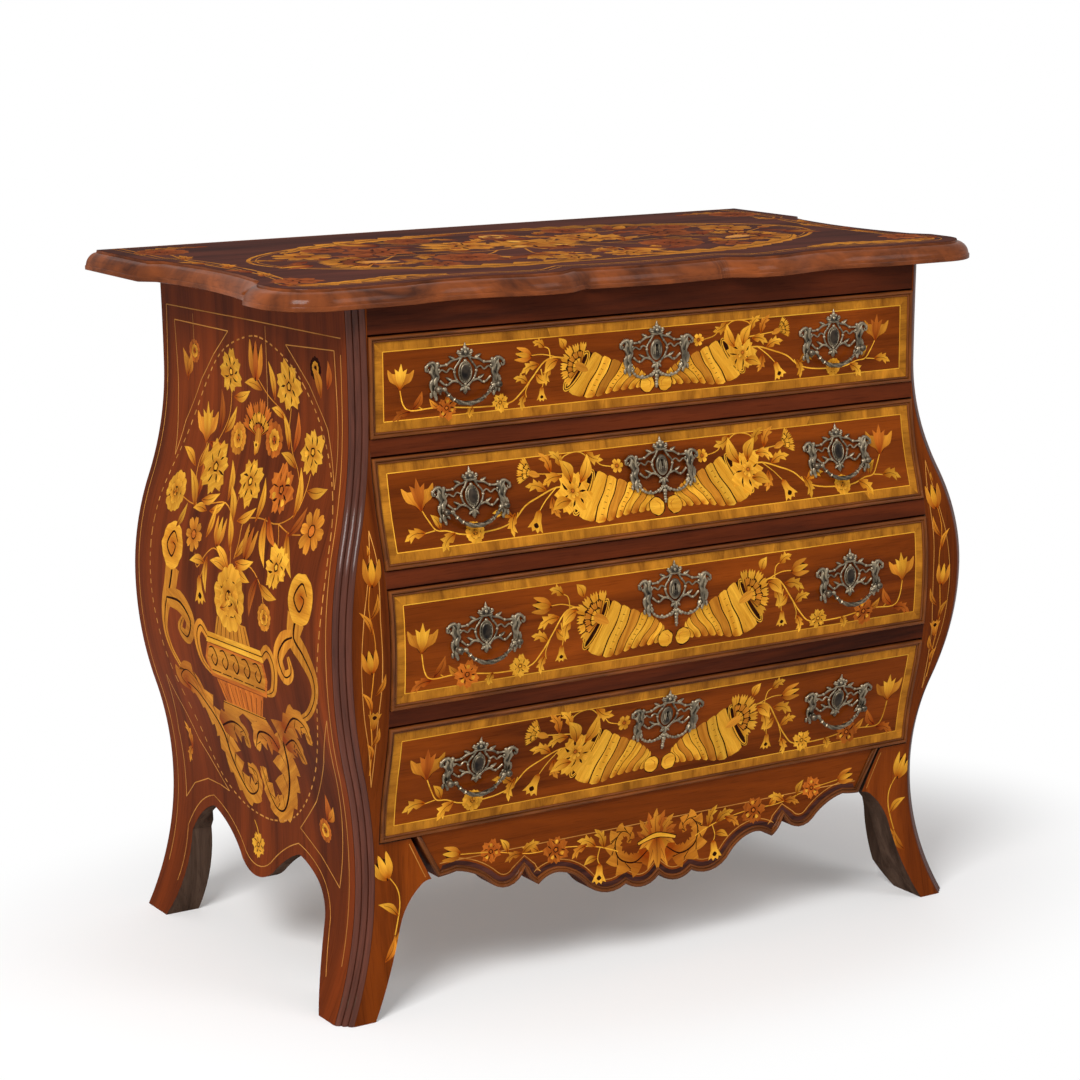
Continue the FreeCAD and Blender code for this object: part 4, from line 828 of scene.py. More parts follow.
def arcThrough(first, middle, last, steps):
    ax, ay = first
    bx, by = middle
    cx, cy = last
    d = 2 * (ax * (by - cy) + bx * (cy - ay) + cx * (ay - by))
    if abs(d) < 1e-6:
        return [(ax + (cx - ax) * k / steps, ay + (cy - ay) * k / steps) for k in range(steps)]
    aa, bb, cc = ax * ax + ay * ay, bx * bx + by * by, cx * cx + cy * cy
    ux = (aa * (by - cy) + bb * (cy - ay) + cc * (ay - by)) / d
    uy = (aa * (cx - bx) + bb * (ax - cx) + cc * (bx - ax)) / d
    radius = math.hypot(ax - ux, ay - uy)
    start, through, end = [math.atan2(y - uy, x - ux) for x, y in ((ax, ay), (bx, by), (cx, cy))]
    turn = (end - start) % (2 * math.pi)
    if (through - start) % (2 * math.pi) > turn:
        turn -= 2 * math.pi
    return [(ux + radius * math.cos(start + turn * k / steps), uy + radius * math.sin(start + turn * k / steps))
            for k in range(steps)]


def flipped(points):
    return [(-x, y) for x, y in points]


def rectangle(left, low, right, high):
    return [(left, low), (right, low), (right, high), (left, high)]


def frameBands(left, low, right, high, width, wood, slices=7):
    pieces = []
    outer = rectangle(left, low, right, high)
    inner = rectangle(left + width, low + width, right - width, high - width)
    for first, last, grain in ((0, 1, math.pi / 2), (3, 2, math.pi / 2), (0, 3, 0.0), (1, 2, 0.0)):
        a, b, c, d = outer[first], outer[last], inner[last], inner[first]
        count = max(1, round(math.dist(a, b) / (width * slices)))
        for number in range(count):
            s, t = number / count, (number + 1) / count
            corners = ((a, b, s), (a, b, t), (d, c, t), (d, c, s))
            pieces.append(inlay([(p[0] + (q[0] - p[0]) * share, p[1] + (q[1] - p[1]) * share)
                                 for p, q, share in corners], wood, grain))
    return pieces


def frameLine(left, low, right, high, width, wood):
    spots = rectangle(left, low, right, high)
    pairs = [(spots[a], spots[b]) for a, b in ((0, 1), (3, 2), (0, 3), (1, 2))]
    return [piece for pair in pairs for piece in line(pair, width, wood)]


# drawer fronts

def keyholeAt(height):
    turns = [math.radians(a) for a in range(-58, 239, 18)]
    eye = [(2.6 * math.cos(turn), height + 2.6 * math.sin(turn)) for turn in turns]
    return eye + [(-1.3, height - 8.7), (1.3, height - 8.7)]


drawerLook = {
    "bead": 7.0,          # bead seen from the front
    "band": 11.0,         # crossbanding inside it
    "string": 1.1,
}
# The horns and sprays are drawn for a field of this height and fitted to each drawer's own.
drawnField = {"low": 20, "height": 84.5}


def mixed(p, q, m, n, dx=0.0, dy=0.0):
    return ((p[0] * m + q[0] * n) / (m + n) + dx, (p[1] * m + q[1] * n) / (m + n) + dy)


def horn(fieldLow, rise):
    def at(x, z):
        return (x, fieldLow + (z - drawnField["low"]) * rise)
    upper = smooth([at(15, 45), at(26, 53), at(39, 60), at(54, 65), at(70, 71), at(82, 76), at(95, 82)], 6)
    lower = smooth([at(20, 33), at(32, 31), at(46, 31), at(62, 30), at(78, 27), at(100, 25), at(130, 36)], 6)
    pieces = [inlay(upper + lower[::-1], "inkWood")]
    bands, out, sway = 8, 2.2, 1.4

    def along(edge, share):
        place = min(max(share, 0.0), 1.0) * (len(edge) - 1)
        k = min(int(place), len(edge) - 2)
        return tuple(edge[k][n] + (edge[k + 1][n] - edge[k][n]) * (place - k) for n in (0, 1))
    for number in range(bands):
        start, end = [((number + share) / bands) ** 0.9 * 0.97 for share in (0, 0.90)]
        slant = [0.75 * share * (1 - share) for share in (start, end)]
        a, b = along(lower, start), along(lower, end)
        c, d = along(upper, end - slant[1]), along(upper, start - slant[0])
        belly = smooth([b, mixed(b, c, 2, 1, sway), mixed(b, c, 1, 2, -sway), c], 3)
        belly += [mixed(c, d, 3, 1, 0, out), mixed(c, d, 1, 3, 0, out * 0.8)]
        belly += smooth([d, mixed(a, d, 1, 2, -sway), mixed(a, d, 2, 1, sway), a], 3)
        belly += [mixed(a, b, 3, 1, 0, -out * 0.8), mixed(a, b, 1, 3, 0, -out)]
        slope = math.atan2(c[1] - b[1], c[0] - b[0])
        pieces.append(inlay(belly, "satinwood" if number in (2, 5) else "boxwood", slope, a, 8))
        if number in (4, 6):        # short cuts along the band
            for tick in range(6):
                share = (tick + 1) / 7
                x, y = [(a[n] + b[n]) / 2 * (1 - share) + (c[n] + d[n]) / 2 * share for n in (0, 1)]
                pieces.append(inlay(ribbon([(x - 1.7, y - 0.5), (x + 1.5, y + 0.6)], [0.5, 0.8], 1), "inkWood"))

    # the mouth: dark and light ovals, with a ruffle
    top, low = at(96, 83), at(131, 35)
    half = math.dist(top, low) / 2
    turn = math.degrees(math.atan2(top[1] - low[1], top[0] - low[0]))

    def ellipse(a, b):
        return [(a * math.cos(k * math.pi / 16), b * math.sin(k * math.pi / 16)) for k in range(32)]
    ruffle = [(half * 0.88 * (k / 6 - 1), (-6.2 if k % 2 else -4.6) * math.sin(math.pi * k / 12) - 0.6)
              for k in range(13)]
    ruffle += [(half * 0.8 * (1 - k / 4), -1.2 - 1.4 * (k % 2)) for k in range(9)]
    mouth = [inlay(ellipse(half - less, deep), wood) for less, deep, wood in
             ((0, 9.4, "boxwood"), (1.3, 8.0, "inkWood"), (2.6, 6.9, "boxwood"), (4.2, 5.0, "inkWood"))]
    pieces += moved(mouth + [inlay(ruffle, "boxwood")], *mixed(top, low, 1, 1), turn)

    # the tail's round end
    radius = 10.4 * min(1.0, rise ** 0.5)
    hook = [(radius * x, radius * y) for x, y in ((0.1, 0.62), (-0.5, 0.2), (-0.4, -0.4))]
    return pieces + moved(disc(radius * 1.1, 10, 0.01, "inkWood") + disc(radius, 10, 0.01, "boxwood")
                          + [inlay(ribbon(hook, [0.3, 0.8, 0.3]), "fruitwood")], *at(12.8, 33.5))


# stems: width, spots; leaves: x, z, length, turn, wood, teeth, width; flowers: x, z, size, turn, wood
sprayOne = [
    ("stem", 1.6, [(125, 74), (141, 79), (158, 75), (175, 56), (190, 39), (208, 27), (250, 26), (282, 29),
                   (308, 31), (338, 30), (348, 38), (352, 56)]),
    ("stem", 1.2, [(141, 79), (160, 84), (176, 84)]), ("stem", 1.2, [(163, 66), (160, 50), (162, 40)]),
    ("stem", 1.1, [(178, 52), (184, 40), (183, 32)]), ("stem", 1.2, [(322, 30), (328, 34)]),
    ("stem", 1.2, [(150, 78), (152, 90), (160, 94)]), ("leaf", 338, 29, 29.5, -22, "fruitwood", 1, 11.7),
    ("leaf", 336, 31, 27.1, 122, "fruitwood", 0, 10.4), ("leaf", 256, 27, 15.3, -70, "boxwood", 1, 10.4),
    ("leaf", 185, 36, 22.4, -78, "boxwood", 1, 10.4), ("leaf", 181, 50, 23.6, 20, "boxwood", 1, 11.7),
    ("leaf", 170, 60, 21.2, 215, "boxwood", 0, 10.4), ("leaf", 165, 72, 30.7, -20, "boxwood", 1, 13),
    ("leaf", 150, 68, 26, -75, "boxwood", 1, 11.7), ("leaf", 158, 93, 20.1, 24, "boxwood", 1, 11.7),
    ("leaf", 140, 76, 26, -40, "boxwood", 0, 14.3),
    ("leaf", 300, 30, 20.1, 40, "satinwood", 0, 7.8, {"flip": True}), ("tulip", 176, 83, 24.1, -78),
    ("bell", 162, 44, 19.5, 180), ("peony", 219, 29, 12.6), ("peony", 291, 29, 15.6, 0, "fruitwood"),
    ("openTulip", 352, 56, 33.3, 4),
    ("carnation", 108, 64, 33.3, -62, {"inner": "satinwood", "spread": 165, "petals": 7}),
    ("leaf", 130, 88, 17.7, 60, "boxwood", 0, 11.7),
]
sprayTwo = [
    ("stem", 1.6, [(128, 66), (150, 68), (176, 60), (196, 52), (214, 38), (240, 31), (282, 30), (304, 36),
                   (318, 38), (326, 48), (334, 62)]),
    ("stem", 1.3, [(136, 84), (139, 98), (128, 104), (112, 104), (98, 94)]),
    ("stem", 1.2, [(96, 100), (86, 88), (70, 84)]), ("stem", 1.3, [(138, 82), (160, 84), (180, 86)]),
    ("stem", 1.2, [(150, 68), (166, 56), (178, 44)]), ("stem", 1.2, [(207, 46), (211, 38)]),
    ("stem", 1.2, [(320, 38), (336, 36)]), ("leaf", 106, 104, 28.3, 205, "boxwood", 1, 13),
    ("leaf", 139, 90, 26, 50, "boxwood", 1, 11.7), ("leaf", 155, 85, 29.5, 58, "satinwood", 1, 11.7),
    ("leaf", 142, 80, 28.3, -18, "boxwood", 1, 13), ("leaf", 164, 66, 29.5, 14, "boxwood", 1, 13),
    ("leaf", 158, 58, 26, 252, "satinwood", 1, 11.7), ("leaf", 211, 46, 28.3, -78, "boxwood", 1, 11.7),
    ("leaf", 214, 42, 28.3, 14, "boxwood", 1, 11.7), ("leaf", 294, 33, 28.3, -44, "boxwood", 1, 14.3),
    ("leaf", 312, 38, 21.2, 58, "boxwood", 0, 9.1), ("leaf", 333, 37, 29.5, -14, "boxwood", 1, 13),
    ("daisy", 62, 84, 8.9, {"petals": 6}), ("carnation", 180, 86, 23, -70, {"spread": 95, "petals": 4}),
    ("bell", 177, 46, 26.4, 205), ("rose", 268, 31, 12.6), ("openTulip", 334, 60, 36.8, -4, "fruitwood"),
    ("peony", 126, 60, 25.2), ("leaf", 116, 70, 35.4, 112, "boxwood", 0, 15.6),
    ("leaf", 128, 72, 30.7, 62, "boxwood", 0, 15.6), ("leaf", 132, 52, 28.3, -18, "boxwood", 0, 14.3),
    ("daisy", 128, 62, 9),
]
sprays = {"drawer_1": (sprayOne, sprayTwo, 0.92), "drawer_2": (sprayTwo, sprayTwo, 1.0),
          "drawer_3": (sprayOne, sprayOne, 1.06), "drawer_4": (sprayTwo, sprayOne, 1.08)}


def frontBox(drawer, inset):
    half = caseShape["halfDrawer"]
    return -half + inset, drawers[drawer]["low"] + inset, half - inset, drawers[drawer]["high"] - inset


def drawerInlay(drawer):
    edge = drawerLook["bead"] + drawerLook["band"]
    pieces = frameBands(*frontBox(drawer, drawerLook["bead"]), drawerLook["band"], "crossband")
    pieces += frameLine(*frontBox(drawer, edge), drawerLook["string"], "boxwood")
    fieldLow, fieldHigh = drawers[drawer]["low"] + edge + 0.5, drawers[drawer]["high"] - edge - 0.5
    height = fieldHigh - fieldLow
    rise = height / drawnField["height"]

    def at(x, z):
        return (x, fieldLow + (z - drawnField["low"]) * height / drawnField["height"])
    leftSpray, rightSpray, size = sprays[drawer]
    k = size * min(1.0, rise * 1.04)
    for spray, flip in ((leftSpray, True), (rightSpray, False)):
        half = horn(fieldLow, rise) + drawn(spray, at, k)
        pieces += moved(half, flip=True) if flip else half
    return pieces


def arcChain(marks, steps):      # corners, each with a spot that the arc to the next one passes, or None
    path = []
    for (corner, bend), (following, _) in zip(marks, marks[1:]):
        path += arcThrough(corner, bend, following, steps) if bend else [corner]
    return path + [marks[-1][0]]


def apronOutline(inset=0.0):
    deep, end = 120.0, caseShape["opening"]
    right = [((0, deep - 11), (26, deep)), ((49, deep - 8), (76, deep - 2)),
             ((110, deep - 21), (127, deep - 34)), ((146, deep - 40), (163, deep - 37.5)),
             ((175, deep - 30), (186, deep - 39)), ((194, deep - 54.5), (214, deep - 35.5)),
             ((240, deep - 42), (262, deep - 58)), ((end - 103.5, deep - 67), (end - 91, deep - 65)),
             ((end - 78.5, deep - 64), None), ((end - 48.5, 0), None)]
    path = [(x, -y) for x, y in arcChain(right, 7)]
    low = drawers["drawer_4"]["low"]
    whole = [(x, low + y) for x, y in flipped(path[::-1])[:-1] + path]
    return offsetPath(whole, inset) if inset else whole


def offsetPath(path, inset, closed=False):
    count = len(path)
    out = []
    for number, (x, y) in enumerate(path):
        if closed:
            before, after = path[number - 1], path[(number + 1) % count]
        else:
            before, after = path[max(number - 1, 0)], path[min(number + 1, count - 1)]
        first = Vector((x - before[0], y - before[1]))
        second = Vector((after[0] - x, after[1] - y))
        if first.length < 1e-9:
            first = second
        if second.length < 1e-9:
            second = first
        first.normalize()
        second.normalize()
        a, b = Vector((-first.y, first.x)), Vector((-second.y, second.x))
        mitre = (a + b) * (inset / max(1 + a.dot(b), 0.8))
        out.append((x + mitre.x, y + mitre.y))
    return out


def quads(rows, count, spans=None):      # faces between rows of spots; around, or across the first spans
    return [(row * count + k, row * count + (k + 1) % count,
             (row + 1) * count + (k + 1) % count, (row + 1) * count + k)
            for row in range(rows) for k in range(spans or count)]


def loft(name, body, rings, faces, finish, grainAt, crisp):
    made = newPiece(name, [p for one in rings for p in one], faces, body)
    made.data.materials.append(finishes[finish])
    grainOn(made.data, [grainAt(corner) for face in made.data.polygons for corner in face.vertices])
    return sharpened(made, crisp)


def moulding(name, body, rings, finish, closed, seed=3.0, ends=False, crisp=None):
    count, last = len(rings[0]), len(rings) - 1
    faces = quads(last, count, None if closed else count - 1)
    if not closed:
        faces.append(tuple(row * count for row in range(last + 1)))
        faces.append(tuple(row * count + count - 1 for row in range(last + 1))[::-1])
    if ends:
        faces.append(tuple(range(count))[::-1])
        faces.append(tuple(last * count + k for k in range(count)))
    along = [0.0]
    for k in range(count):
        along.append(along[-1] + (Vector(rings[0][(k + 1) % count]) - Vector(rings[0][k])).length * mm)
    return loft(name, body, rings, faces, finish,
                lambda corner: (along[corner % count], (corner // count) * 0.0012, seed), crisp)


beadProfile = [(0.0, 0.0), (0.0, 2.3), (0.5, 3.2), (1.3, 3.8), (2.2, 3.95), (3.1, 3.6), (3.7, 2.8), (3.95, 1.7),
               (4.1, 1.25), (4.5, 1.7), (5.1, 2.1), (5.8, 2.1), (6.4, 1.7), (6.8, 0.9), (7.0, 0.05)]


def sharpened(made, angle):
    if angle:
        split = made.modifiers.new("crisp_mitres", "EDGE_SPLIT")
        split.split_angle = math.radians(angle)
    return made


def frontFrame(name, drawer):
    rings = []
    for inset, rise in beadProfile:
        left, down, right, up = frontBox(drawer, inset)
        rows = 12
        loop = [(left + (right - left) * k / 4, down) for k in range(4)]
        loop += [(right, down + (up - down) * k / rows) for k in range(rows)]
        loop += [(right - (right - left) * k / 4, up) for k in range(4)]
        loop += [(left, up - (up - down) * k / rows) for k in range(rows)]
        rings.append([tuple(onFront(x, z, rise)[0]) for x, z in loop])
    made = moulding(name, drawer, rings, "beadWood", True, crisp=40)
    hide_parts(drawer + "_bead")


underBead = drawerLook["bead"] - 0.6      # the veneer runs a little under the bead
for drawer in drawers:
    veneerSheet(drawer + "_veneer", drawer, rectangle(*frontBox(drawer, underBead)),
                drawerInlay(drawer), onFront, "walnutGround", holes=[keyholeAt(brassLook["keyholes"][drawer])])
    frontFrame(drawer + "_cock_bead", drawer)
print("drawer fronts laid")


apronRows = [     # right of the middle; down from the drawer's lower edge
    ("stem", 1.2, [(58, 70), (84, 60), (112, 54), (150, 50), (186, 50), (232, 40)]),
    ("leaf", 78, 62, 30, 62, "boxwood", 1, 12), ("leaf", 90, 58, 30, 22, "boxwood", 1, 13),
    ("leaf", 104, 54, 26, -34, "satinwood", 1, 11), ("stem", 1.2, [(84, 60), (88, 74), (84, 84)]),
    ("bell", 85, 80, 26, 186), ("leaf", 88, 72, 22, -20, "boxwood", 0, 9),
    ("peony", 148, 52, 18, 0, "fruitwood"), ("leaf", 172, 50, 26, 20, "boxwood", 1, 11),
    ("leaf", 196, 48, 27, 158, "boxwood", 1, 11, {"flip": True}),
    ("leaf", 196, 48, 26, -16, "satinwood", 1, 10), ("peony", 240, 38, 14.5, 0, "fruitwood"),
    ("leaf", 216, 44, 22, 60, "boxwood", 0, 9), ("tulip", 282, 34, 24, -80),
    ("stem", 1.2, [(244, 38), (282, 34)]),
]


def apronInlay():
    low = drawers["drawer_4"]["low"]

    def at(x, drop):
        return (x, low - drop)
    inside = [spot for spot in apronOutline(15.5) if spot[1] < low - 7]
    hollow = [spot for spot in apronOutline(12.5) if spot[1] < low]
    outer = [spot for spot in apronOutline(6.5) if spot[1] < low + 3]
    # the hollow moulding beside the bead is not shaped: a flat band of painted shade lies in its place
    pieces = [inlay(outer + hollow[::-1], "darkBand")]
    pieces += line(inside + [inside[0]], 1.1)
    # shell of leaves between two scrolls
    for turn, length in ((28, 34), (152, 34), (50, 40), (130, 40), (72, 40), (108, 40), (90, 42)):
        pieces += leafAt(*at(0, 66), length, turn, "satinwood" if turn % 4 else "fruitwood", 1, 15, 0.05)
    for turn, length in ((-150, 34), (-30, 34), (-128, 42), (-52, 42), (-110, 44), (-70, 44), (-90, 46)):
        pieces += leafAt(*at(0, 60), length, turn, "satinwood" if turn % 4 else "boxwood", 0, 13, 0.0)
    for reach, widths, wood in ((29, [5, 8, 5], "inkWood"), (28, [3, 5.4, 3], "boxwood")):
        pieces += [inlay(ribbon([at(-reach, 66), at(0, 59), at(reach, 66)], widths, 5), wood)]
    half = acanthus([at(14, 76), at(34, 88), at(56, 80), at(62, 60), at(52, 46), at(40, 52), at(43, 62)],
                    [12, 21, 20, 17, 13, 9, 4], 10, -1)
    half += drawn(apronRows, at)
    return pieces + half + moved(half, flip=True)


topOfApron = drawers["drawer_4"]["low"]
veneerSheet("apron_veneer", "drawer_4", apronOutline(underBead), apronInlay(), onFront,
            "walnutGround")
rings = [[tuple(onFront(x, min(z, topOfApron), rise)[0]) for x, z in apronOutline(inset)]
         for inset, rise in beadProfile]
moulding("apron_bead", "drawer_4", rings, "beadWood", False, seed=8.0)
print("apron laid")


# stiles, front legs, canted reeds

def stileOutline():
    top, opening, lift = caseShape["caseTop"], caseShape["opening"], caseShape["lift"]
    gap = 0.3
    shelf = drawers["drawer_4"]["low"] - 2
    tip, heel, calf = (opening - 70.5, shelf - 55), (opening - 56, shelf - 60), (opening - 26, shelf - 105)
    toe = (sideAt(0) - 46, 0)
    path = [(opening + gap, top), (opening + gap, shelf - gap), (opening - 42.5, shelf - gap),
            (tip[0] + gap, tip[1])]
    path += arcThrough(tip, (opening - 63, tip[1] - 1), heel, 4)[1:]
    path += arcThrough(heel, (opening - 37, tip[1] - 26), calf, 6)
    path += arcThrough(calf, (opening - 7, calf[1] * 0.47), toe, 8)
    path += [(toe[0], lift)]
    steps = 60
    for step in range(steps + 1):
        height = lift + (top - lift) * step / steps
        path.append((sideAt(height) - caseShape["cant"] - 0.2, height))
    return path


stileRows = [
    ("stem", 1.2, [(412, 300), (413, 340), (418, 380), (415, 420), (412, 460), (418, 500), (410, 540)],
     "satinwood"),
    ("tulip", 411, 524, 30, 6), ("tulip", 417, 425, 27, -8),
    ("bell", 413, 356, 22, 4, "satinwood"), ("leaf", 416, 488, 30, 112, "satinwood", 0, 6.5),
    ("leaf", 415, 470, 32, 60, "satinwood", 0, 6.5), ("leaf", 412, 398, 28, 118, "satinwood", 0, 6.5),
    ("leaf", 416, 378, 30, 62, "satinwood", 0, 6.5), ("leaf", 413, 336, 24, 110, "satinwood", 0, 6.5),
    ("leaf", 412, 320, 22, 70, "satinwood", 0, 6.5), ("leaf", 412, 556, 14, 96, "satinwood", 0, 4),
    # leg: tulip over three leaves
    ("stem", 1.4, [(374, 96), (366, 128), (368, 150), (380, 168)]),
    ("tulip", 381, 164, 33, -22, {"side": "boxwood"}), ("leaf", 368, 118, 32, 34, "boxwood", 0, 10),
    ("leaf", 378, 84, 36, 128, "boxwood", 0, 11), ("leaf", 390, 66, 34, 118, "satinwood", 0, 10),
    ("line", 1.0, [(352, 203), (330, 158)]),
]


def stileInlay():
    heights = (585, 555, 520, 489, 444, 408, 372, 330, 284)
    outer = [(min(x, sideAt(z) - 21), z) for x, z in
             zip((405, 410, 418, 425, 430, 429, 425, 416, 408), heights)]
    inner = [(405, 585), (401, 554), (402, 520), (404, 486), (403, 440), (404, 404), (407, 369), (408, 330),
             (408, 284)]
    return line(smooth(outer, 4), 1.0) + line(smooth(inner, 4), 1.0) + drawn(stileRows)


def reeds(name, side):
    cant = caseShape["cant"]
    width = cant * math.sqrt(2) / 3
    along, outward = Vector((1, 1, 0)).normalized(), Vector((1, -1, 0)).normalized()
    rings = []
    steps = 84
    for step in range(steps + 1):
        height = 0.3 + (caseShape["caseTop"] - 0.6) * step / steps
        start = Vector((sideAt(height) - cant, frontAt(height), height)) - outward * (0.3 * width - 1.0)
        loop = [start - outward * 1.5 + along * 0.4]
        for reed in range(3):
            for part in range(9):
                turn = math.pi * part / 8
                across = width * (reed + 0.5 - 0.5 * math.cos(turn) * 0.99)
                loop.append(start + along * across + outward * (0.12 + 2.75 * math.sin(turn) ** 0.8))
        loop.append(start - outward * 1.5 + along * (3 * width - 0.4))
        rings.append([(side * max(p.x, caseShape["opening"] + 0.2), p.y, p.z) for p in loop])
    count = len(rings[0])
    spots = [p for one in rings for p in one]
    faces = quads(steps, count) + [tuple(range(count))[::-1], tuple(steps * count + k for k in range(count))]
    if side < 0:
        faces = [face[::-1] for face in faces]
    return loft(name, "case", rings, faces, "reedWood",
                lambda corner: (spots[corner][2] * mm, (corner % count) * 0.0011, 5.0 + side), 50)


for sideName, side in (("left", -1), ("right", 1)):
    flowers, edge = stileInlay(), stileOutline()
    if side < 0:
        flowers, edge = moved(flowers, flip=True), flipped(edge)
    veneerSheet(sideName + "_stile_veneer", "case", edge, flowers, onFront, "walnutGround",
                math.pi / 2)
    reeds(sideName + "_reeds", side)
print("stiles laid")


# sides: an urn with a bouquet between straps, in a dashed oval; across is front to back
sideLook = {
    "flowers": [     # kind, across, height, size, turn, wood
        ("peony", 83, 726, 27, 0, "boxwood"), ("tulip", 17, 724, 46, 4, "fruitwood"),
        ("peony", -70, 727, 30, 20, "boxwood"), ("openTulip", 141, 630, 50, -6, "boxwood"),
        ("carnation", 6, 656, 46, -4, "fruitwood"), ("rose", 57, 648, 20, 0, "satinwood"),
        ("rose", -36, 659, 22, 0, "fruitwood"), ("peony", -134, 659, 28, 40, "boxwood"),
        ("peony", 103, 607, 33, 10, "boxwood"), ("peony", 7, 604, 29, 0, "boxwood"),
        ("peony", -73, 606, 30, 30, "fruitwood"), ("rose", 190, 564, 25, 0, "boxwood"),
        ("daisy", 116, 523, 22, 0, "satinwood"), ("tulip", 50, 520, 34, 0, "boxwood"),
        ("tulip", -26, 518, 38, 10, "fruitwood"), ("daisy", -168, 574, 27, 0, "satinwood"),
        ("peony", -107, 522, 27, 0, "boxwood"), ("bell", 89, 478, 36, 172, "boxwood"),
        ("rose", -88, 459, 17, 0, "satinwood"), ("bell", 9, 634, 18, 0, "boxwood"),
    ],
    "leaves": [      # from base to tip
        (75, 696, 35, 708), (109, 648, 110, 698), (94, 650, 69, 683), (132, 633, 85, 634), (157, 600, 195, 617),
        (147, 600, 134, 630), (127, 552, 165, 592), (129, 566, 137, 604), (50, 574, 62, 618),
        (116, 565, 77, 578), (22, 548, 50, 590), (88, 556, 57, 570), (96, 555, 130, 553), (167, 524, 151, 554),
        (82, 525, 74, 564), (13, 556, -22, 576), (15, 520, 34, 560), (-32, 562, -29, 610), (-60, 573, -92, 545),
        (-54, 571, -76, 520), (-114, 565, -144, 520), (-118, 560, -142, 595), (-118, 580, -111, 634),
        (-134, 614, -178, 623), (-98, 635, -60, 646), (-87, 652, -93, 697), (-75, 653, -56, 690),
        (-58, 688, -27, 695), (0, 714, 43, 717), (-33, 706, -19, 748), (10, 494, 52, 520), (16, 496, 60, 500),
        (-3, 510, -46, 518), (-1, 515, -22, 549), (-5, 506, -43, 494), (76, 495, 115, 491), (71, 504, 70, 462),
        (-70, 496, -114, 487), (-66, 503, -49, 456)],
    "stems": [
        [(8, 489), (9, 508), (16, 533), (23, 558), (25, 583), (10, 593)],
        [(24, 558), (54, 571), (93, 564), (132, 557), (173, 562)],
        [(127, 558), (147, 587), (149, 609), (139, 626), (140, 641)],
        [(127, 575), (128, 613), (102, 647), (86, 672), (82, 703)],
        [(1, 513), (-4, 533), (-5, 559), (-40, 568), (-88, 569), (-125, 593), (-107, 629), (-84, 652),
         (-71, 679), (-53, 695), (-17, 709), (12, 728)],
        [(-71, 679), (-75, 702)],
        [(-125, 593), (-132, 615), (-135, 634)], [(-88, 569), (-120, 563), (-146, 566)],
        [(6, 499), (-36, 512), (-72, 497), (-86, 473)],
        [(10, 496), (50, 516), (73, 508), (96, 486), (105, 502)], [(72, 498), (88, 472)],
        [(0, 519), (-20, 532), (-28, 531)], [(-107, 500), (-100, 548), (-88, 569)]],
    "scrolls": [     # smooth straps: points, widths
        ([(-168, 474), (-164, 450), (-186, 434), (-207, 412), (-206, 388), (-182, 362), (-148, 346)],
         [28, 20, 18, 14, 9, 7, 5]),
        ([(-160, 450), (-138, 440), (-121, 418), (-133, 397), (-152, 406), (-147, 424)],
         [12, 17, 16, 13, 9, 4]),
        ([(165, 476), (172, 450), (187, 424), (197, 392), (190, 365), (172, 344), (166, 328)],
         [26, 22, 15, 9, 7, 6, 6]),
        ([(184, 432), (145, 433), (118, 414), (131, 391), (151, 398), (139, 414)], [14, 20, 17, 13, 9, 4]),
        ([(-70, 402), (-92, 419), (-107, 402), (-97, 372), (-76, 362)], [7, 11, 11, 8, 4]),
        ([(66, 400), (88, 415), (103, 398), (98, 370), (76, 356)], [7, 11, 11, 8, 4])],
    "discs": [(-175, 497, 31), (170, 500, 30)],
    "acanthus": [    # toothed straps: points, widths, teeth, which edge
        ([(-112, 330), (-88, 304), (-80, 272), (-68, 238), (-47, 206), (-24, 203), (-6, 224), (1, 250)],
         [10, 26, 32, 28, 20, 17, 14, 8], 8, 1),
        ([(-66, 288), (-52, 303), (-20, 300), (4, 274)], [14, 24, 20, 5], 4, -1),
        ([(-103, 322), (-136, 346), (-163, 342), (-169, 320)], [12, 20, 15, 5], 4, 1),
        ([(-90, 300), (-122, 314), (-135, 287)], [12, 20, 5], 3, 1),
        ([(176, 326), (140, 318), (112, 296), (94, 272), (88, 244), (72, 220), (48, 203), (24, 213), (21, 236),
          (42, 240)], [8, 18, 27, 32, 28, 22, 19, 16, 12, 6], 9, -1),
        ([(92, 282), (54, 296), (28, 290), (25, 268)], [16, 24, 15, 5], 4, 1),
        ([(158, 316), (179, 328), (157, 342), (132, 334), (118, 312)], [6, 12, 12, 11, 5], 3, -1)],
}


def dashes(points, dash=5.5, gap=4.0, width=2.0):
    path = smooth(points, 10, True)
    path.append(path[0])
    pieces, walked, start = [], 0.0, None
    for a, b in zip(path, path[1:]):
        walked += math.dist(a, b)
        if start is None:
            start = b if walked >= gap else None
            walked = 0.0 if start else walked
        elif walked >= dash:
            pieces += line([start, b], width)
            start, walked = None, 0.0
    return pieces


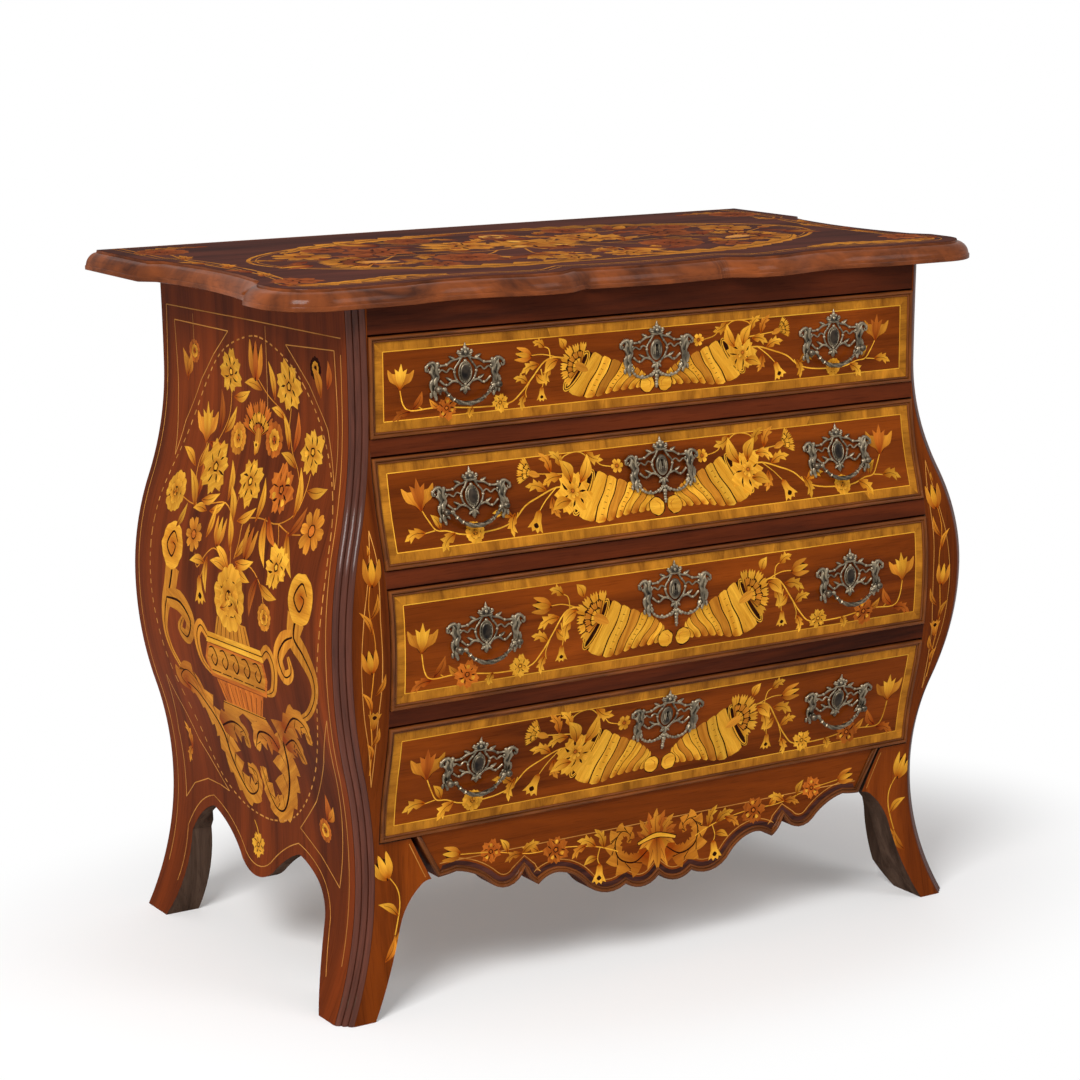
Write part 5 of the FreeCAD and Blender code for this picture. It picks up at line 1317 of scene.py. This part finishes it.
def urn():
    across = math.pi / 2

    def board(points, wood, grain=0.0):
        return [inlay(points, wood, grain)]

    def cuts(count, high, low, width):      # dark cuts fanned between two edges: left end, span, height
        pieces = []
        for k in range(count):
            share = (k + 0.5) / count
            pieces += line([(x - span * share, z) for x, span, z in (high, low)], width, "inkWood")
        return pieces
    pieces = board([(39, 436), (-38, 438), (-48, 414), (50, 410)], "satinwood", across)
    pieces += cuts(8, (39, 77, 436), (50, 98, 411), 1.3)
    pieces += board([(70, 411), (-74, 416), (-80, 402), (76, 397)], "boxwood")
    pieces += line([(72, 404), (-77, 409)], 1.4, "inkWood")
    pieces += board([(74, 396), (-79, 401), (-84, 380), (-74, 357), (76, 352), (86, 374)], "fruitwood")
    pieces += board([(70, 393), (-74, 398), (-79, 380), (-70, 362), (72, 357), (81, 374)], "satinwood")
    curl = ((11, 390), (-1, 392), (-9, 380), (0, 369), (8, 376), (2, 383))
    for k in range(5):
        x = 60 - 30 * k
        pieces += board(ribbon([(x + dx, z + k) for dx, z in curl], [1.4, 2.6, 2.6, 2.2, 1.4], 4), "inkWood")
        pieces += line([(x + 12, 361 + k), (x - 13, 362 + k)], 1.5, "inkWood")
    pieces += board([(64, 351), (-64, 356), (-48, 327), (52, 323)], "fruitwood", across)
    pieces += cuts(9, (64, 128, 350), (52, 100, 326), 1.2)
    pieces += board([(60, 323), (-54, 327), (-60, 312), (-30, 318), (-8, 309), (12, 317), (36, 305), (70, 309)],
                    "satinwood")
    return pieces + line([(62, 321), (-56, 325)], 1.3, "inkWood")


def skirtPath():
    marks = [(30, 0), (63, 51), (75, 101), (87, 127), (108, 144), (129, 153), (150.5, 158), (186.5, 140),
             (215.5, 117), (255.5, 102), (297.5, 113), (336.5, 141), (384.5, 159), (419.5, 141), (443, 112),
             (441, 51), (452, 0)]
    path = []
    for k in range(0, len(marks) - 2, 2):
        path += arcThrough(*marks[k:k + 3], 8)
    path.append(marks[-1])
    return [(caseShape["frontPlane"] + depth, max(height, caseShape["lift"])) for depth, height in path]


sideOval = [(37, 774), (-12, 775), (-75, 754), (-121, 722), (-160, 677), (-190, 628), (-212, 580), (-225, 535),
            (-228, 490), (-222, 440), (-208, 375), (-183, 319), (-125, 248), (-73, 204), (-28, 187), (14, 181),
            (71, 186), (128, 211), (168, 262), (205, 340), (224, 410), (231, 470), (231, 524), (222, 580),
            (196, 634), (158, 698), (107, 748)]
sideStrings = [     # along the edges, in the corners, above the skirt
    [(262, 790), (35, 795), (-202, 799)], [(262, 790), (266, 690), (265, 480), (262, 250), (262, 60)],
    [(240, 773), (88, 775), (130, 742), (167, 706), (205, 650), (219, 605), (232, 670), (240, 773)],
    [(-65, 776), (-185, 783), (-190, 700), (-196, 625), (-166, 690), (-121, 736), (-65, 776)],
    [(230, 319), (217, 292), (181, 241), (130, 204), (108, 190), (132, 192), (170, 191), (211, 175), (237, 150),
     (243, 240), (230, 319)],
    [(-85, 193), (-139, 241), (-190, 304), (-228, 365), (-206, 268), (-183, 145), (-136, 172), (-85, 193)]]
sideHeart = [("rose", 5, 464, 41), ("leaf", 30, 448, 34, 150, "boxwood", 1, 12),
             ("leaf", -20, 450, 34, 30, "boxwood", 1, 12)]
sideCorners = [     # corner flowers, skirt flower, sprigs, and old cracks
    ("rose", 184, 740, 15, 0, "fruitwood"), ("leaf", 205, 700, 42, 72, "satinwood"),
    ("leaf", 206, 706, 34, 110, "satinwood"), ("rose", -138, 757, 14, 0, "inkWood"),
    ("leaf", -150, 724, 40, 60, "satinwood"), ("leaf", -166, 736, 34, 95, "fruitwood"), ("peony", 29, 141, 17),
    ("stem", 1.6, [(29, 150), (32, 160), (40, 170)]), ("leaf", 206, 226, 34, 70, "satinwood", 1),
    ("leaf", 206, 226, 30, -60, "satinwood", 1), ("rose", -152, 208, 15, 0, "fruitwood"),
    ("leaf", -160, 222, 36, 100, "fruitwood"), ("leaf", -162, 222, 30, 130, "satinwood"),
    ("line", 0.9, [(186, 786), (185, 742)]), ("line", 0.9, [(-13, 792), (-14, 690)])]


def sideInlay():
    pieces = []
    for points, widths in sideLook["scrolls"]:
        pieces += scroll(points, [width * 1.5 for width in widths])
    whorl = ((-0.5, 0.2), (0, 0.6), (0.5, 0), (0, -0.45), (-0.3, 0), (0, 0.15))
    for x, y, radius in sideLook["discs"]:
        cut = ribbon([(radius * a, radius * b) for a, b in whorl], [1, 3, 3, 2.4, 1.2], 5)
        pieces += moved(disc(radius, 11, 0.03, "boxwood", (0, 0), radius) + [inlay(cut, "inkWood")], x, y)
    for points, widths, teeth, edge in sideLook["acanthus"]:
        pieces += acanthus(points, [width * 1.4 for width in widths], teeth, edge)
    for points in sideLook["stems"]:
        pieces += stem(points, 1.4, "satinwood")
    for x, y, tipX, tipY in sideLook["leaves"]:
        length = math.hypot(tipX - x, tipY - y) * 1.08
        pieces += leafAt(x, y, length, math.degrees(math.atan2(tipY - y, tipX - x)),
                         "fruitwood" if dice.random() < 0.18 else "boxwood", 0, 5 + length * 0.17, 0.08)
    pieces += drawn(sideLook["flowers"]) + urn() + drawn(sideHeart) + dashes(sideOval)
    for points in sideStrings:
        pieces += lines(points, 1.3)
    pieces += line([(frontAt(z) + 31, z) for z in range(60, 800, 20)], 1.3)
    pieces += line([spot for spot in offsetPath(skirtPath(), 13) if spot[1] > 30], 1.3)
    return pieces + drawn(sideCorners)


def sideOutline():
    back, top, lift = 276.9, caseShape["caseTop"] - 0.2, caseShape["lift"]
    front = [(frontAt(height) + caseShape["cant"] + 0.3, height) for height in np.linspace(top, lift, 60)]
    return skirtPath() + [(back, lift), (back, top)] + front


for sideName, side in (("left", -1), ("right", 1)):
    veneerSheet(sideName + "_side_veneer", "case", sideOutline(), sideInlay(), onSide(side),
                "mahoganySide", math.pi / 2)
print("sides laid")


# top board: moulded edge, and a strap oval full of flowers in the field
topLook = {
    "profile": [(1.2, 0.0), (0.2, 0.5), (0, 1.4), (0, 4.6), (0.3, 5.6), (1.2, 6.0), (1.6, 8.4), (2.6, 11.4),
                (4.3, 14.4), (6.8, 17.2), (9.8, 19.4), (12.8, 20.6), (15.2, 21.0), (15.9, 21.2), (16.1, 22.6),
                (16.4, 23.5), (17.4, 23.6)],
    "flowers": [     # kind, x, y, size, turn, wood; the same again on the left
        ("peony", 92, 66, 52, 0, "agedBoxwood"), ("rose", 150, -48, 42, 0, "agedFruit"),
        ("peony", 214, 66, 46, 20, "agedFruit"), ("carnation", 268, -30, 70, -70, "agedBoxwood"),
        ("daisy", 316, 70, 38, 0, "agedBoxwood"), ("tulip", 180, 124, 60, -40, "agedBoxwood"),
        ("openTulip", 66, -60, 68, 200, "agedBoxwood"), ("rose", 118, 156, 32, 0, "agedFruit"),
        ("peony", 40, -116, 32, 0, "agedBoxwood"), ("rose", 436, 216, 34, 0, "agedFruit"),
        ("peony", 438, -150, 30, 0, "agedFruit"), ("tulip", 350, -18, 46, -100, "agedBoxwood"),
        ("rose", 262, 118, 28, 0, "agedFruit"), ("daisy", 212, -92, 26, 0, "agedFruit")],
    "stems": [[(20, 20), (80, 0), (150, 4), (220, 14), (300, 10), (352, 40)], [(80, 0), (110, -30), (150, -42)],
              [(30, 50), (90, 110), (160, 120), (190, 130)], [(60, 40), (130, 30), (214, 58)],
              [(220, 14), (262, -30), (300, -60)], [(40, 0), (60, -60), (44, -110)],
              [(440, 180), (452, 100), (448, 0), (440, -110)]],
    "leaves": [(112, 4, 66, 40), (126, 24, 68, 70), (166, 8, 62, -50), (186, 20, 66, 62), (240, 12, 64, 40),
               (262, 12, 62, -30), (306, 14, 60, 60), (300, 16, 56, -60), (74, 96, 60, 140), (140, 118, 56, 60),
               (120, -30, 62, -110), (60, -50, 66, -150), (230, -18, 56, -120), (290, -50, 56, 200),
               (28, 34, 66, 160), (24, 10, 64, -140), (20, 84, 62, 95), (352, 40, 52, 20), (336, 20, 52, -50),
               (452, 120, 50, 110), (452, 60, 46, 70), (448, 10, 50, 110), (444, -50, 46, 70),
               (452, -90, 44, 110), (236, 84, 56, 100), (150, 84, 54, 20), (200, -60, 56, -10),
               (110, -100, 56, 10), (320, 100, 46, 150), (60, 130, 54, 40), (20, -90, 50, 60),
               (250, -70, 50, -20), (180, 40, 50, -20), (330, -60, 44, 120)],
    "straps": [([(24, -128), (90, -148), (170, -146), (240, -122), (300, -92), (340, -50)],
                [12, 26, 30, 26, 18, 6]),
               ([(30, 196), (110, 196), (190, 182), (262, 156), (320, 116)], [10, 24, 28, 22, 6]),
               ([(474, -176), (430, -196), (370, -190), (320, -176), (262, -186)], [6, 16, 22, 20, 6]),
               ([(360, 244), (410, 250), (452, 232), (470, 196)], [6, 18, 16, 5])],
    "oval": (402, 186, 24),      # half width, half depth, middle
}


def topPath():
    right = [((105, -7), None), ((130, -24), (172, -27)), ((215, -17), (279, -9)), ((340, -20), None),
             ((430, -21), (486, -1)), ((505, 52), None), ((505, 84), None), ((488, 110), (477, 227)),
             ((491, 346), None), ((508, 362), None), ((508, 518), None)]
    path = arcChain(right, 10)
    path += flipped(path[::-1])
    path += arcThrough((-105, -7), (0, -18), (105, -7), 10)[1:]
    return [(x, caseShape["frontPlane"] + depth) for x, depth in path]


def topRing(inset):
    ring = []
    for (x, y), (newX, newY) in zip(topPath(), offsetPath(topPath(), inset, True)):
        if y > caseShape["topBack"] - 0.1:      # the back is cut square
            newX, newY = math.copysign(abs(x) - inset, x), caseShape["topBack"]
        ring.append((newX, newY))
    return ring


def topInlay():
    wide, deep, middle = topLook["oval"]
    turns = [k * math.pi / 40 for k in range(80)]
    pieces = []
    for reach, width in ((1.0, 5.0), (0.975, 1.6)):
        loop = [(wide * reach * math.cos(t), middle + deep * reach * math.sin(t)) for t in turns]
        pieces += lines(loop + loop[:1], width, "agedBoxwood")
    for inset, width in ((36, 1.4), (46, 3.0)):
        loop = topRing(inset)
        for a, b in zip(loop, loop[1:] + loop[:1]):
            if math.dist(a, b) > 0.5:
                pieces += line([a, b], width, "agedBoxwood")
    pieces += bloom("peony", 0, 40, 62, 0, "agedBoxwood") + bloom("rose", 0, 142, 34, 0, "agedFruit")
    half = []
    for points, widths in topLook["straps"]:
        half += acanthus(points, widths, 9, 1, "agedBoxwood")
    for points in topLook["stems"]:
        half += stem(points, 2.6, "agedBoxwood")
    for x, y, length, turn in topLook["leaves"]:
        wood = dice.choice(["agedBoxwood", "agedBoxwood", "agedFruit"])
        half += leafAt(x, y, length, turn, wood, 1, length * 0.36)
    second = {"rose": "inner", "peony": "inner", "carnation": "inner", "daisy": "eye"}
    for kind, x, y, size, turn, wood in topLook["flowers"]:
        half += bloom(kind, x, y, size, turn, wood, **{second.get(kind, "side"): "agedFruit"})
    return pieces + half + moved(half, flip=True)


rings = [[(x, y, caseShape["caseTop"] + rise) for x, y in topRing(inset)] for inset, rise in topLook["profile"]]
topEdge = moulding("top_moulding", "case", rings, "topEdgeWood", True, 11.0, True, 50)
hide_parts("top_board")
veneerSheet("top_veneer_field", "case", topRing(16.5), topInlay(), onTop, "topGround",
            rowGap=22.0)
print("top laid")


# brass: pierced castings, turned knobs, garland bails
# worked as x across, y out (negative), z up from the plate's middle

def capped(spots, rows, around):
    ends = [tuple(range(around)), tuple(rows * around + k for k in range(around))]
    return [(spots, quads(rows, around) + ends)]


def tube(points, radii, around=8, flat=1.0, ridges=0, ridge=0.0, twist=0.0):
    path = [Vector(p) if len(p) == 3 else Vector((p[0], -1.2, p[1])) for p in points]
    last = len(path) - 1
    spots = []
    for number, spot in enumerate(path):
        ahead = (path[min(number + 1, last)] - path[max(number - 1, 0)]).normalized()
        side = ahead.cross(Vector((0, -1, 0)))
        side = side.normalized() if side.length > 0.05 else Vector((1, 0, 0))
        out = side.cross(ahead).normalized()
        radius = between(radii, number / last * (len(radii) - 1))
        for k in range(around):
            turn = 2 * math.pi * k / around
            reach = radius * (1 + ridge * math.cos(ridges * turn + twist * number))
            spots.append(spot + side * reach * math.cos(turn) + out * reach * flat * math.sin(turn))
    return capped(spots, last, around)


def curl(points, radii, around=7, *shape):
    return tube(smooth(points, 3), radii, around, *shape)


def dome(outline, rise, base=0.0, rows=3, edge=0.4):
    count = len(outline)
    middle = (sum(p[0] for p in outline) / count, sum(p[1] for p in outline) / count)
    spots = [Vector((x, -base, z)) for x, z in outline]
    for row in range(rows):
        turn = math.pi / 2 * row / rows
        depth = -(base + rise * edge + rise * (1 - edge) * math.sin(turn))
        spots += [Vector((middle[0] + (x - middle[0]) * math.cos(turn), depth,
                          middle[1] + (z - middle[1]) * math.cos(turn))) for x, z in outline]
    spots.append(Vector((middle[0], -(base + rise), middle[1])))
    crown = [(rows * count + k, rows * count + (k + 1) % count, len(spots) - 1) for k in range(count)]
    return [(spots, [tuple(range(count))] + quads(rows, count) + crown)]


def oval(wide, high, x=0.0, z=0.0, count=12):
    turns = [2 * math.pi * k / count for k in range(count)]
    return [(x + wide * math.cos(turn), z + high * math.sin(turn)) for turn in turns]


def beadAt(x, z, radius, base=0.6, count=8):
    return dome(oval(radius, radius, x, z, count), radius * 1.1, base, 2)


def beads(*rows):
    return [part for row in rows for part in beadAt(*row)]


def leafCast(x, z, tipX, tipZ, width, rise=2.0):
    base = 0.3
    long = math.hypot(tipX - x, tipZ - z)
    ux, uz = (tipX - x) / long, (tipZ - z) / long
    rim = [(0, 0.12), (0.18, 0.42), (0.42, 0.5), (0.6, 0.36), (0.72, 0.4), (0.86, 0.18), (1, 0)]
    edge = [(x + ux * long * a - uz * width * b, z + uz * long * a + ux * width * b) for a, b in rim]
    edge += [(x + ux * long * a + uz * width * b, z + uz * long * a - ux * width * b) for a, b in rim[-2::-1]]
    vein = [(x + ux * long * a, -(base + rise * h), z + uz * long * a)
            for a, h in ((0.05, 0.7), (0.4, 1.0), (0.8, 0.6))]
    return dome(edge, rise, base, 2) + tube(vein, [0.5, 0.6, 0.3], 5)


def bothSides(parts):
    return parts + [([Vector((-p.x, p.y, p.z)) for p in spots], faces) for spots, faces in parts]


def turned(profile, x, z, around=16):
    spots = [Vector((x + radius * math.cos(2 * math.pi * k / around), y,
                     z + radius * math.sin(2 * math.pi * k / around)))
             for y, radius in profile for k in range(around)]
    return capped(spots, len(profile) - 1, around)


def leanAt(height):
    return -math.atan((frontAt(height + 1) - frontAt(height - 1)) / 2)


# lays a plate flat against the swell: it bridges a hollow and rests on a bulge
def plateMatrix(x, height, below, above):
    lean = leanAt(height)
    off = 0.0
    for step in range(13):
        rise = -below + (above + below) * step / 12
        off = max(off, frontAt(height) - rise * math.tan(lean) - frontAt(height + rise))
    place = Vector((x, frontAt(height) - off - caseShape["proud"], height))
    return Matrix.Translation(place) @ Matrix.Rotation(lean, 4, "X")


def plateFrame():
    kite = smooth([(0, 20.5), (5, 17.5), (8.5, 12), (13.5, 6), (14.5, 0), (12, -7), (7, -12.5), (0, -18)], 3)
    parts = tube(kite, [1.5, 1.2, 1.5])
    parts += beads((14.6, 1, 1.9, 1.0), (11.5, -8, 1.5, 1.0), (9.5, 11, 1.5, 1.0), (6.6, 16, 1.4, 1.0))
    # arms to the columns
    parts += curl([(4, 19.5), (10, 16), (17, 15), (25, 10.5), (34, 10)], [1.5, 1.2, 1.7, 1.2, 1.6])
    parts += curl([(14, 3), (20, 6), (25, 2), (31, 5), (35, 2)], [0.9, 1.2, 1.0], 6)
    parts += curl([(10, -10.5), (17, -9), (25, -13.5), (34, -7)], [1.3, 1.7, 1.2, 1.5])
    parts += leafCast(13, 15.5, 22, 20, 4.2) + leafCast(17, -9, 26, -4, 3.8)
    parts += beads((25, 10.5, 2.0, 0.9), (25, -13, 1.8, 0.9))
    # columns: a scroll with ears above and drops below
    parts += dome([(36.5, 9), (41, 12.5), (45.5, 8), (44, 0), (45, -10), (44.6, -22), (40, -25), (35.8, -20),
                   (37, -9), (36, 0)], 1.6, 0.0, 2)
    parts += curl([(36, 12), (38.5, 5), (36.5, -2), (40, -8), (38.5, -14), (41, -21), (39, -26)],
                  [1.9, 2.8, 2.2, 3.1, 2.4, 2.8, 1.6], 8, 0.9, 2, 0.12, 0.7)
    parts += curl([(42.5, 10), (44.5, 3), (42.5, -4), (45.4, -11), (44, -19)], [1.6, 2.3, 1.7, 2.4, 1.4],
                  7, 0.9, 2, 0.12, 0.7)
    parts += curl([(38, 9), (42, 13.8), (47.5, 13), (51.5, 9), (52, 5.6), (49.4, 4.8), (48.6, 7.4)],
                  [1.8, 2.2, 1.9, 1.6, 1.2, 0.8])
    parts += beads((51.5, 9.5, 2.2), (36.5, 12.5, 2.3), (46.5, 3.5, 1.8), (35, 5.5, 1.8), (45.6, -8, 1.7))
    parts += leafCast(41, 6, 47, 16, 4.6) + leafCast(36.5, -18, 32, -24, 4)
    parts += beads((45.4, -14, 1.8), (36, -16, 1.9))
    for x, z, long in ((38.4, -26, 5.0), (45.2, -22, 5.6)):
        parts += dome(oval(1.9, long / 2, x, z - long / 3), 2.2, 0.1, 2) + beadAt(x, z + 0.4, 1.7, 0.4)
    parts += beads((3.8, 26.5, 1.9), (8.6, 24.6, 1.8), (6.6, 21.4, 1.6)) + leafCast(4, 21, 11.5, 23.5, 4)
    parts = bothSides(parts)
    # crown and spike
    parts += dome([(8, 19), (9.4, 23), (5.5, 25), (2.4, 27.5), (-2.4, 27.5), (-5.5, 25), (-9.4, 23), (-8, 19),
                   (0, 16.8)], 2.6, 0.2, 3)
    parts += tube([(-8, -2.4, 20), (-4, -2.8, 19), (0, -3, 18.6), (4, -2.8, 19), (8, -2.4, 20)],
                  [0.7, 0.8, 0.7], 6)
    parts += beads((0, 23.5, 2.3, 1.4), (0, 28.2, 2.5, 0.4))
    parts += dome([(1.9, 29), (1.2, 31.5), (0, 35), (-1.2, 31.5), (-1.9, 29), (0, 28)], 2.0, 0.2, 2)
    # leaf below
    return (parts + leafCast(0, -15, 0, -26, 7.5, 2.4)
            + bothSides(leafCast(2, -17, 7, -21.5, 4) + beadAt(4.6, -15, 1.7, 0.9)))


def plateCast():
    parts = plateFrame() + dome(oval(6.6, 10.4, count=20), 2.9, 0.9, 5)
    parts += dome(oval(8.2, 12.2, count=20), 1.0, 0.0, 2, 0.9)
    ringPath = [(x, -1.3, z) for x, z in oval(8.4, 12.4, count=24)]
    parts += tube(ringPath + ringPath[:1], [0.9, 0.9], 7)
    parts += beads((0, 13.4, 2.2, 0.8), (0, -13.8, 1.9, 0.8))
    for k in range(16):
        turn = 2 * math.pi * (k + 0.5) / 16
        parts += beadAt(7.3 * math.cos(turn), 11.2 * math.sin(turn), 0.62, 1.2, 6)
    return parts


def escutcheonCast():
    below = brassLook["below"]
    parts = plateFrame()
    count = 28
    slot = []
    for k in range(count):       # round eye above, slot below
        turn = 2 * math.pi * k / count
        up = math.sin(turn)
        if up > -0.2:
            slot.append((1.9 * math.cos(turn), below + 1.9 * up))
        else:
            x = math.copysign(1.15, math.cos(turn)) if up > -0.9 else 1.15 * math.cos(turn) * 2
            slot.append((x, below - 2.2 + 6.2 * (up + 0.2)))
    rim = oval(8.6, 12.6, count=count)
    rows = [(0, 0.0), (0, -1.2), (0.22, -2.4), (0.5, -3.1), (0.8, -3.0), (1.0, -2.3), (1.0, -0.1)]
    spots = [Vector((a[0] + (b[0] - a[0]) * share, y, a[1] + (b[1] - a[1]) * share))
             for share, y in rows for a, b in zip(rim, slot)]
    last = len(rows) - 1
    behind = [(last * count + k, last * count + (k + 1) % count, (k + 1) % count, k) for k in range(count)]
    parts.append((spots, quads(last, count) + behind))
    for x in (-5.2, -3.2, 3.2, 5.2):
        long = 9.4 - abs(x) * 0.8
        parts += tube([(x, -2.6, -long), (x, -3.3, 0), (x, -2.6, long)], [0.3, 0.55, 0.3], 6)
    # garland of beads in two loops, with a tassel
    loops = smooth([(37.5, -20), (30, -29), (18, -32.5), (7, -29), (1.5, -24.5)], 5)
    half = tube(loops, [1.2, 1.5, 1.6, 1.3, 1.0], 7, 0.8)
    for x, z in loops[2:-2:2]:
        half += beadAt(x, z, 1.9)
    parts += bothSides(half + leafCast(3, -27, 9, -33, 4) + beadAt(21, -30.5, 1.8, 1.2))
    for z, radius in ((-27, 2.6), (-31.5, 3.1), (-35.5, 2.5), (-39, 2.1), (-42, 2.4), (-44.8, 1.5)):
        parts += beadAt(0, z, radius, 0.3, 10)
    return parts


def bailCast():
    span, sag = brassLook["span"], brassLook["sag"]
    radius = (span ** 2 + sag ** 2) / (2 * sag)
    half = math.asin(span / radius)

    def onBow(turn):
        return (radius * math.sin(turn), 0, radius * (1 - math.cos(turn)) - sag)
    steps = 60
    points, widths = [], []
    for k in range(steps + 1):
        share = -1 + 2 * k / steps
        points.append(onBow(half * share))
        widths.append(1.75 + 0.9 * max(0.0, 1 - (1.7 * share) ** 2) + 0.28 * (k % 2) * (abs(share) < 0.5))
    parts = tube(points, widths, 10, 1.0, 3, 0.13, 0.55)
    for share in (-0.78, -0.55, 0.55, 0.78):       # wrapped leaves and rings
        parts += tube([onBow(half * share + d) for d in (-0.035, 0, 0.035)], [1.9, 2.9, 1.9], 10)
    ends = tube([(30.6, 0, -1.6), (31.6, 0, -0.8), (33, 0, -0.1), (34.6, 0, 0), (35.5, 0, 0)],
                [1.9, 2.7, 3.0, 2.4, 1.6], 10)
    ends += tube([(34.6, 0, 0), (35.9, 0, 0)], [1.5, 1.5], 10)
    return parts + bothSides(ends)


def nutAt(x, z, back):
    chamfer = 0.8
    rings = []
    for y, less in ((back, chamfer), (back + 0.5, 0), (back + brassLook["nutThick"] - chamfer, 0),
                    (back + brassLook["nutThick"], chamfer)):
        half = brassLook["nut"] / 2 - less
        rings += [Vector((x + a * half, y, z + b * half)) for a, b in ((-1, -1), (1, -1), (1, 1), (-1, 1))]
    return capped(rings, 3, 4)


def postProfile(pivotDepth, back):
    knob, shank = brassLook["knob"], brassLook["shank"]
    shares = [(-knob, 0.4), (-0.93 * knob, 1.7), (-0.72 * knob, 3.0), (-0.4 * knob, 4.0), (0, knob),
              (0.4 * knob, 4.0), (0.72 * knob, 2.9), (0.86 * knob, 2.3), (1.0 * knob, 3.3), (1.2 * knob, 3.5),
              (1.4 * knob, 2.8), (1.5 * knob, shank)]
    return [(pivotDepth + y, radius) for y, radius in shares] + [(back + 5.2, shank), (back + 5.4, 1.6)]


def castPiece(name, parts, body, places, node):
    spots, faces = [], []
    for matrix in places:
        for partSpots, partFaces in parts:
            first = len(spots)
            spots += [matrix @ spot for spot in partSpots]
            faces += [tuple(first + k for k in face) for face in partFaces]
    made = newPiece(name, spots, faces, body)
    turnedOut = bmesh.new()
    turnedOut.from_mesh(made.data)
    bmesh.ops.recalc_face_normals(turnedOut, faces=turnedOut.faces)
    turnedOut.to_mesh(made.data)
    turnedOut.free()
    made.data.materials.append(finishes["agedBrass"])
    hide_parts(node)
    sharpened(made, 55)


for drawer in drawers:
    height = brassLook["handles"][drawer]
    lean = leanAt(height)
    drop, reach, back = brassLook["drop"], brassLook["reach"], brassLook["frontBack"]
    pivotDepth = frontAt(height) + drop * math.sin(lean) - reach * math.cos(lean)
    pivotHeight = height - drop * math.cos(lean) - reach * math.sin(lean)
    centres = (-brassLook["across"], brassLook["across"])
    plates = [plateMatrix(x, height, 31, 35) for x in centres]
    castPiece(drawer + "_plates", plateCast(), drawer, plates, drawer + "_handle_plates")
    profile = postProfile(pivotDepth, back)
    posts = []
    for x in (x + spread for x in centres for spread in (-brassLook["spread"], brassLook["spread"])):
        posts += turned(profile, x, pivotHeight) + nutAt(x, pivotHeight, back)
    castPiece(drawer + "_knobs", posts, drawer, [Matrix.Identity(4)], drawer + "_handle_posts")
    keyhole = plateMatrix(0, brassLook["keyholes"][drawer], 50, 35)
    keyhole = keyhole @ Matrix.Translation(Vector((0, 0, -brassLook["below"])))
    castPiece(drawer + "_key_plate", escutcheonCast(), drawer, [keyhole], drawer + "_escutcheon")
    for sideName, x in zip(("left", "right"), centres):
        hang = Matrix.Translation(Vector((x, pivotDepth, pivotHeight)))
        hang = hang @ Matrix.Rotation(min(0.0, lean), 4, "X")
        bail = drawer + "_" + sideName + "_bail"
        castPiece(bail + "_bow", bailCast(), bail, [hang], bail)
print("brass cast")
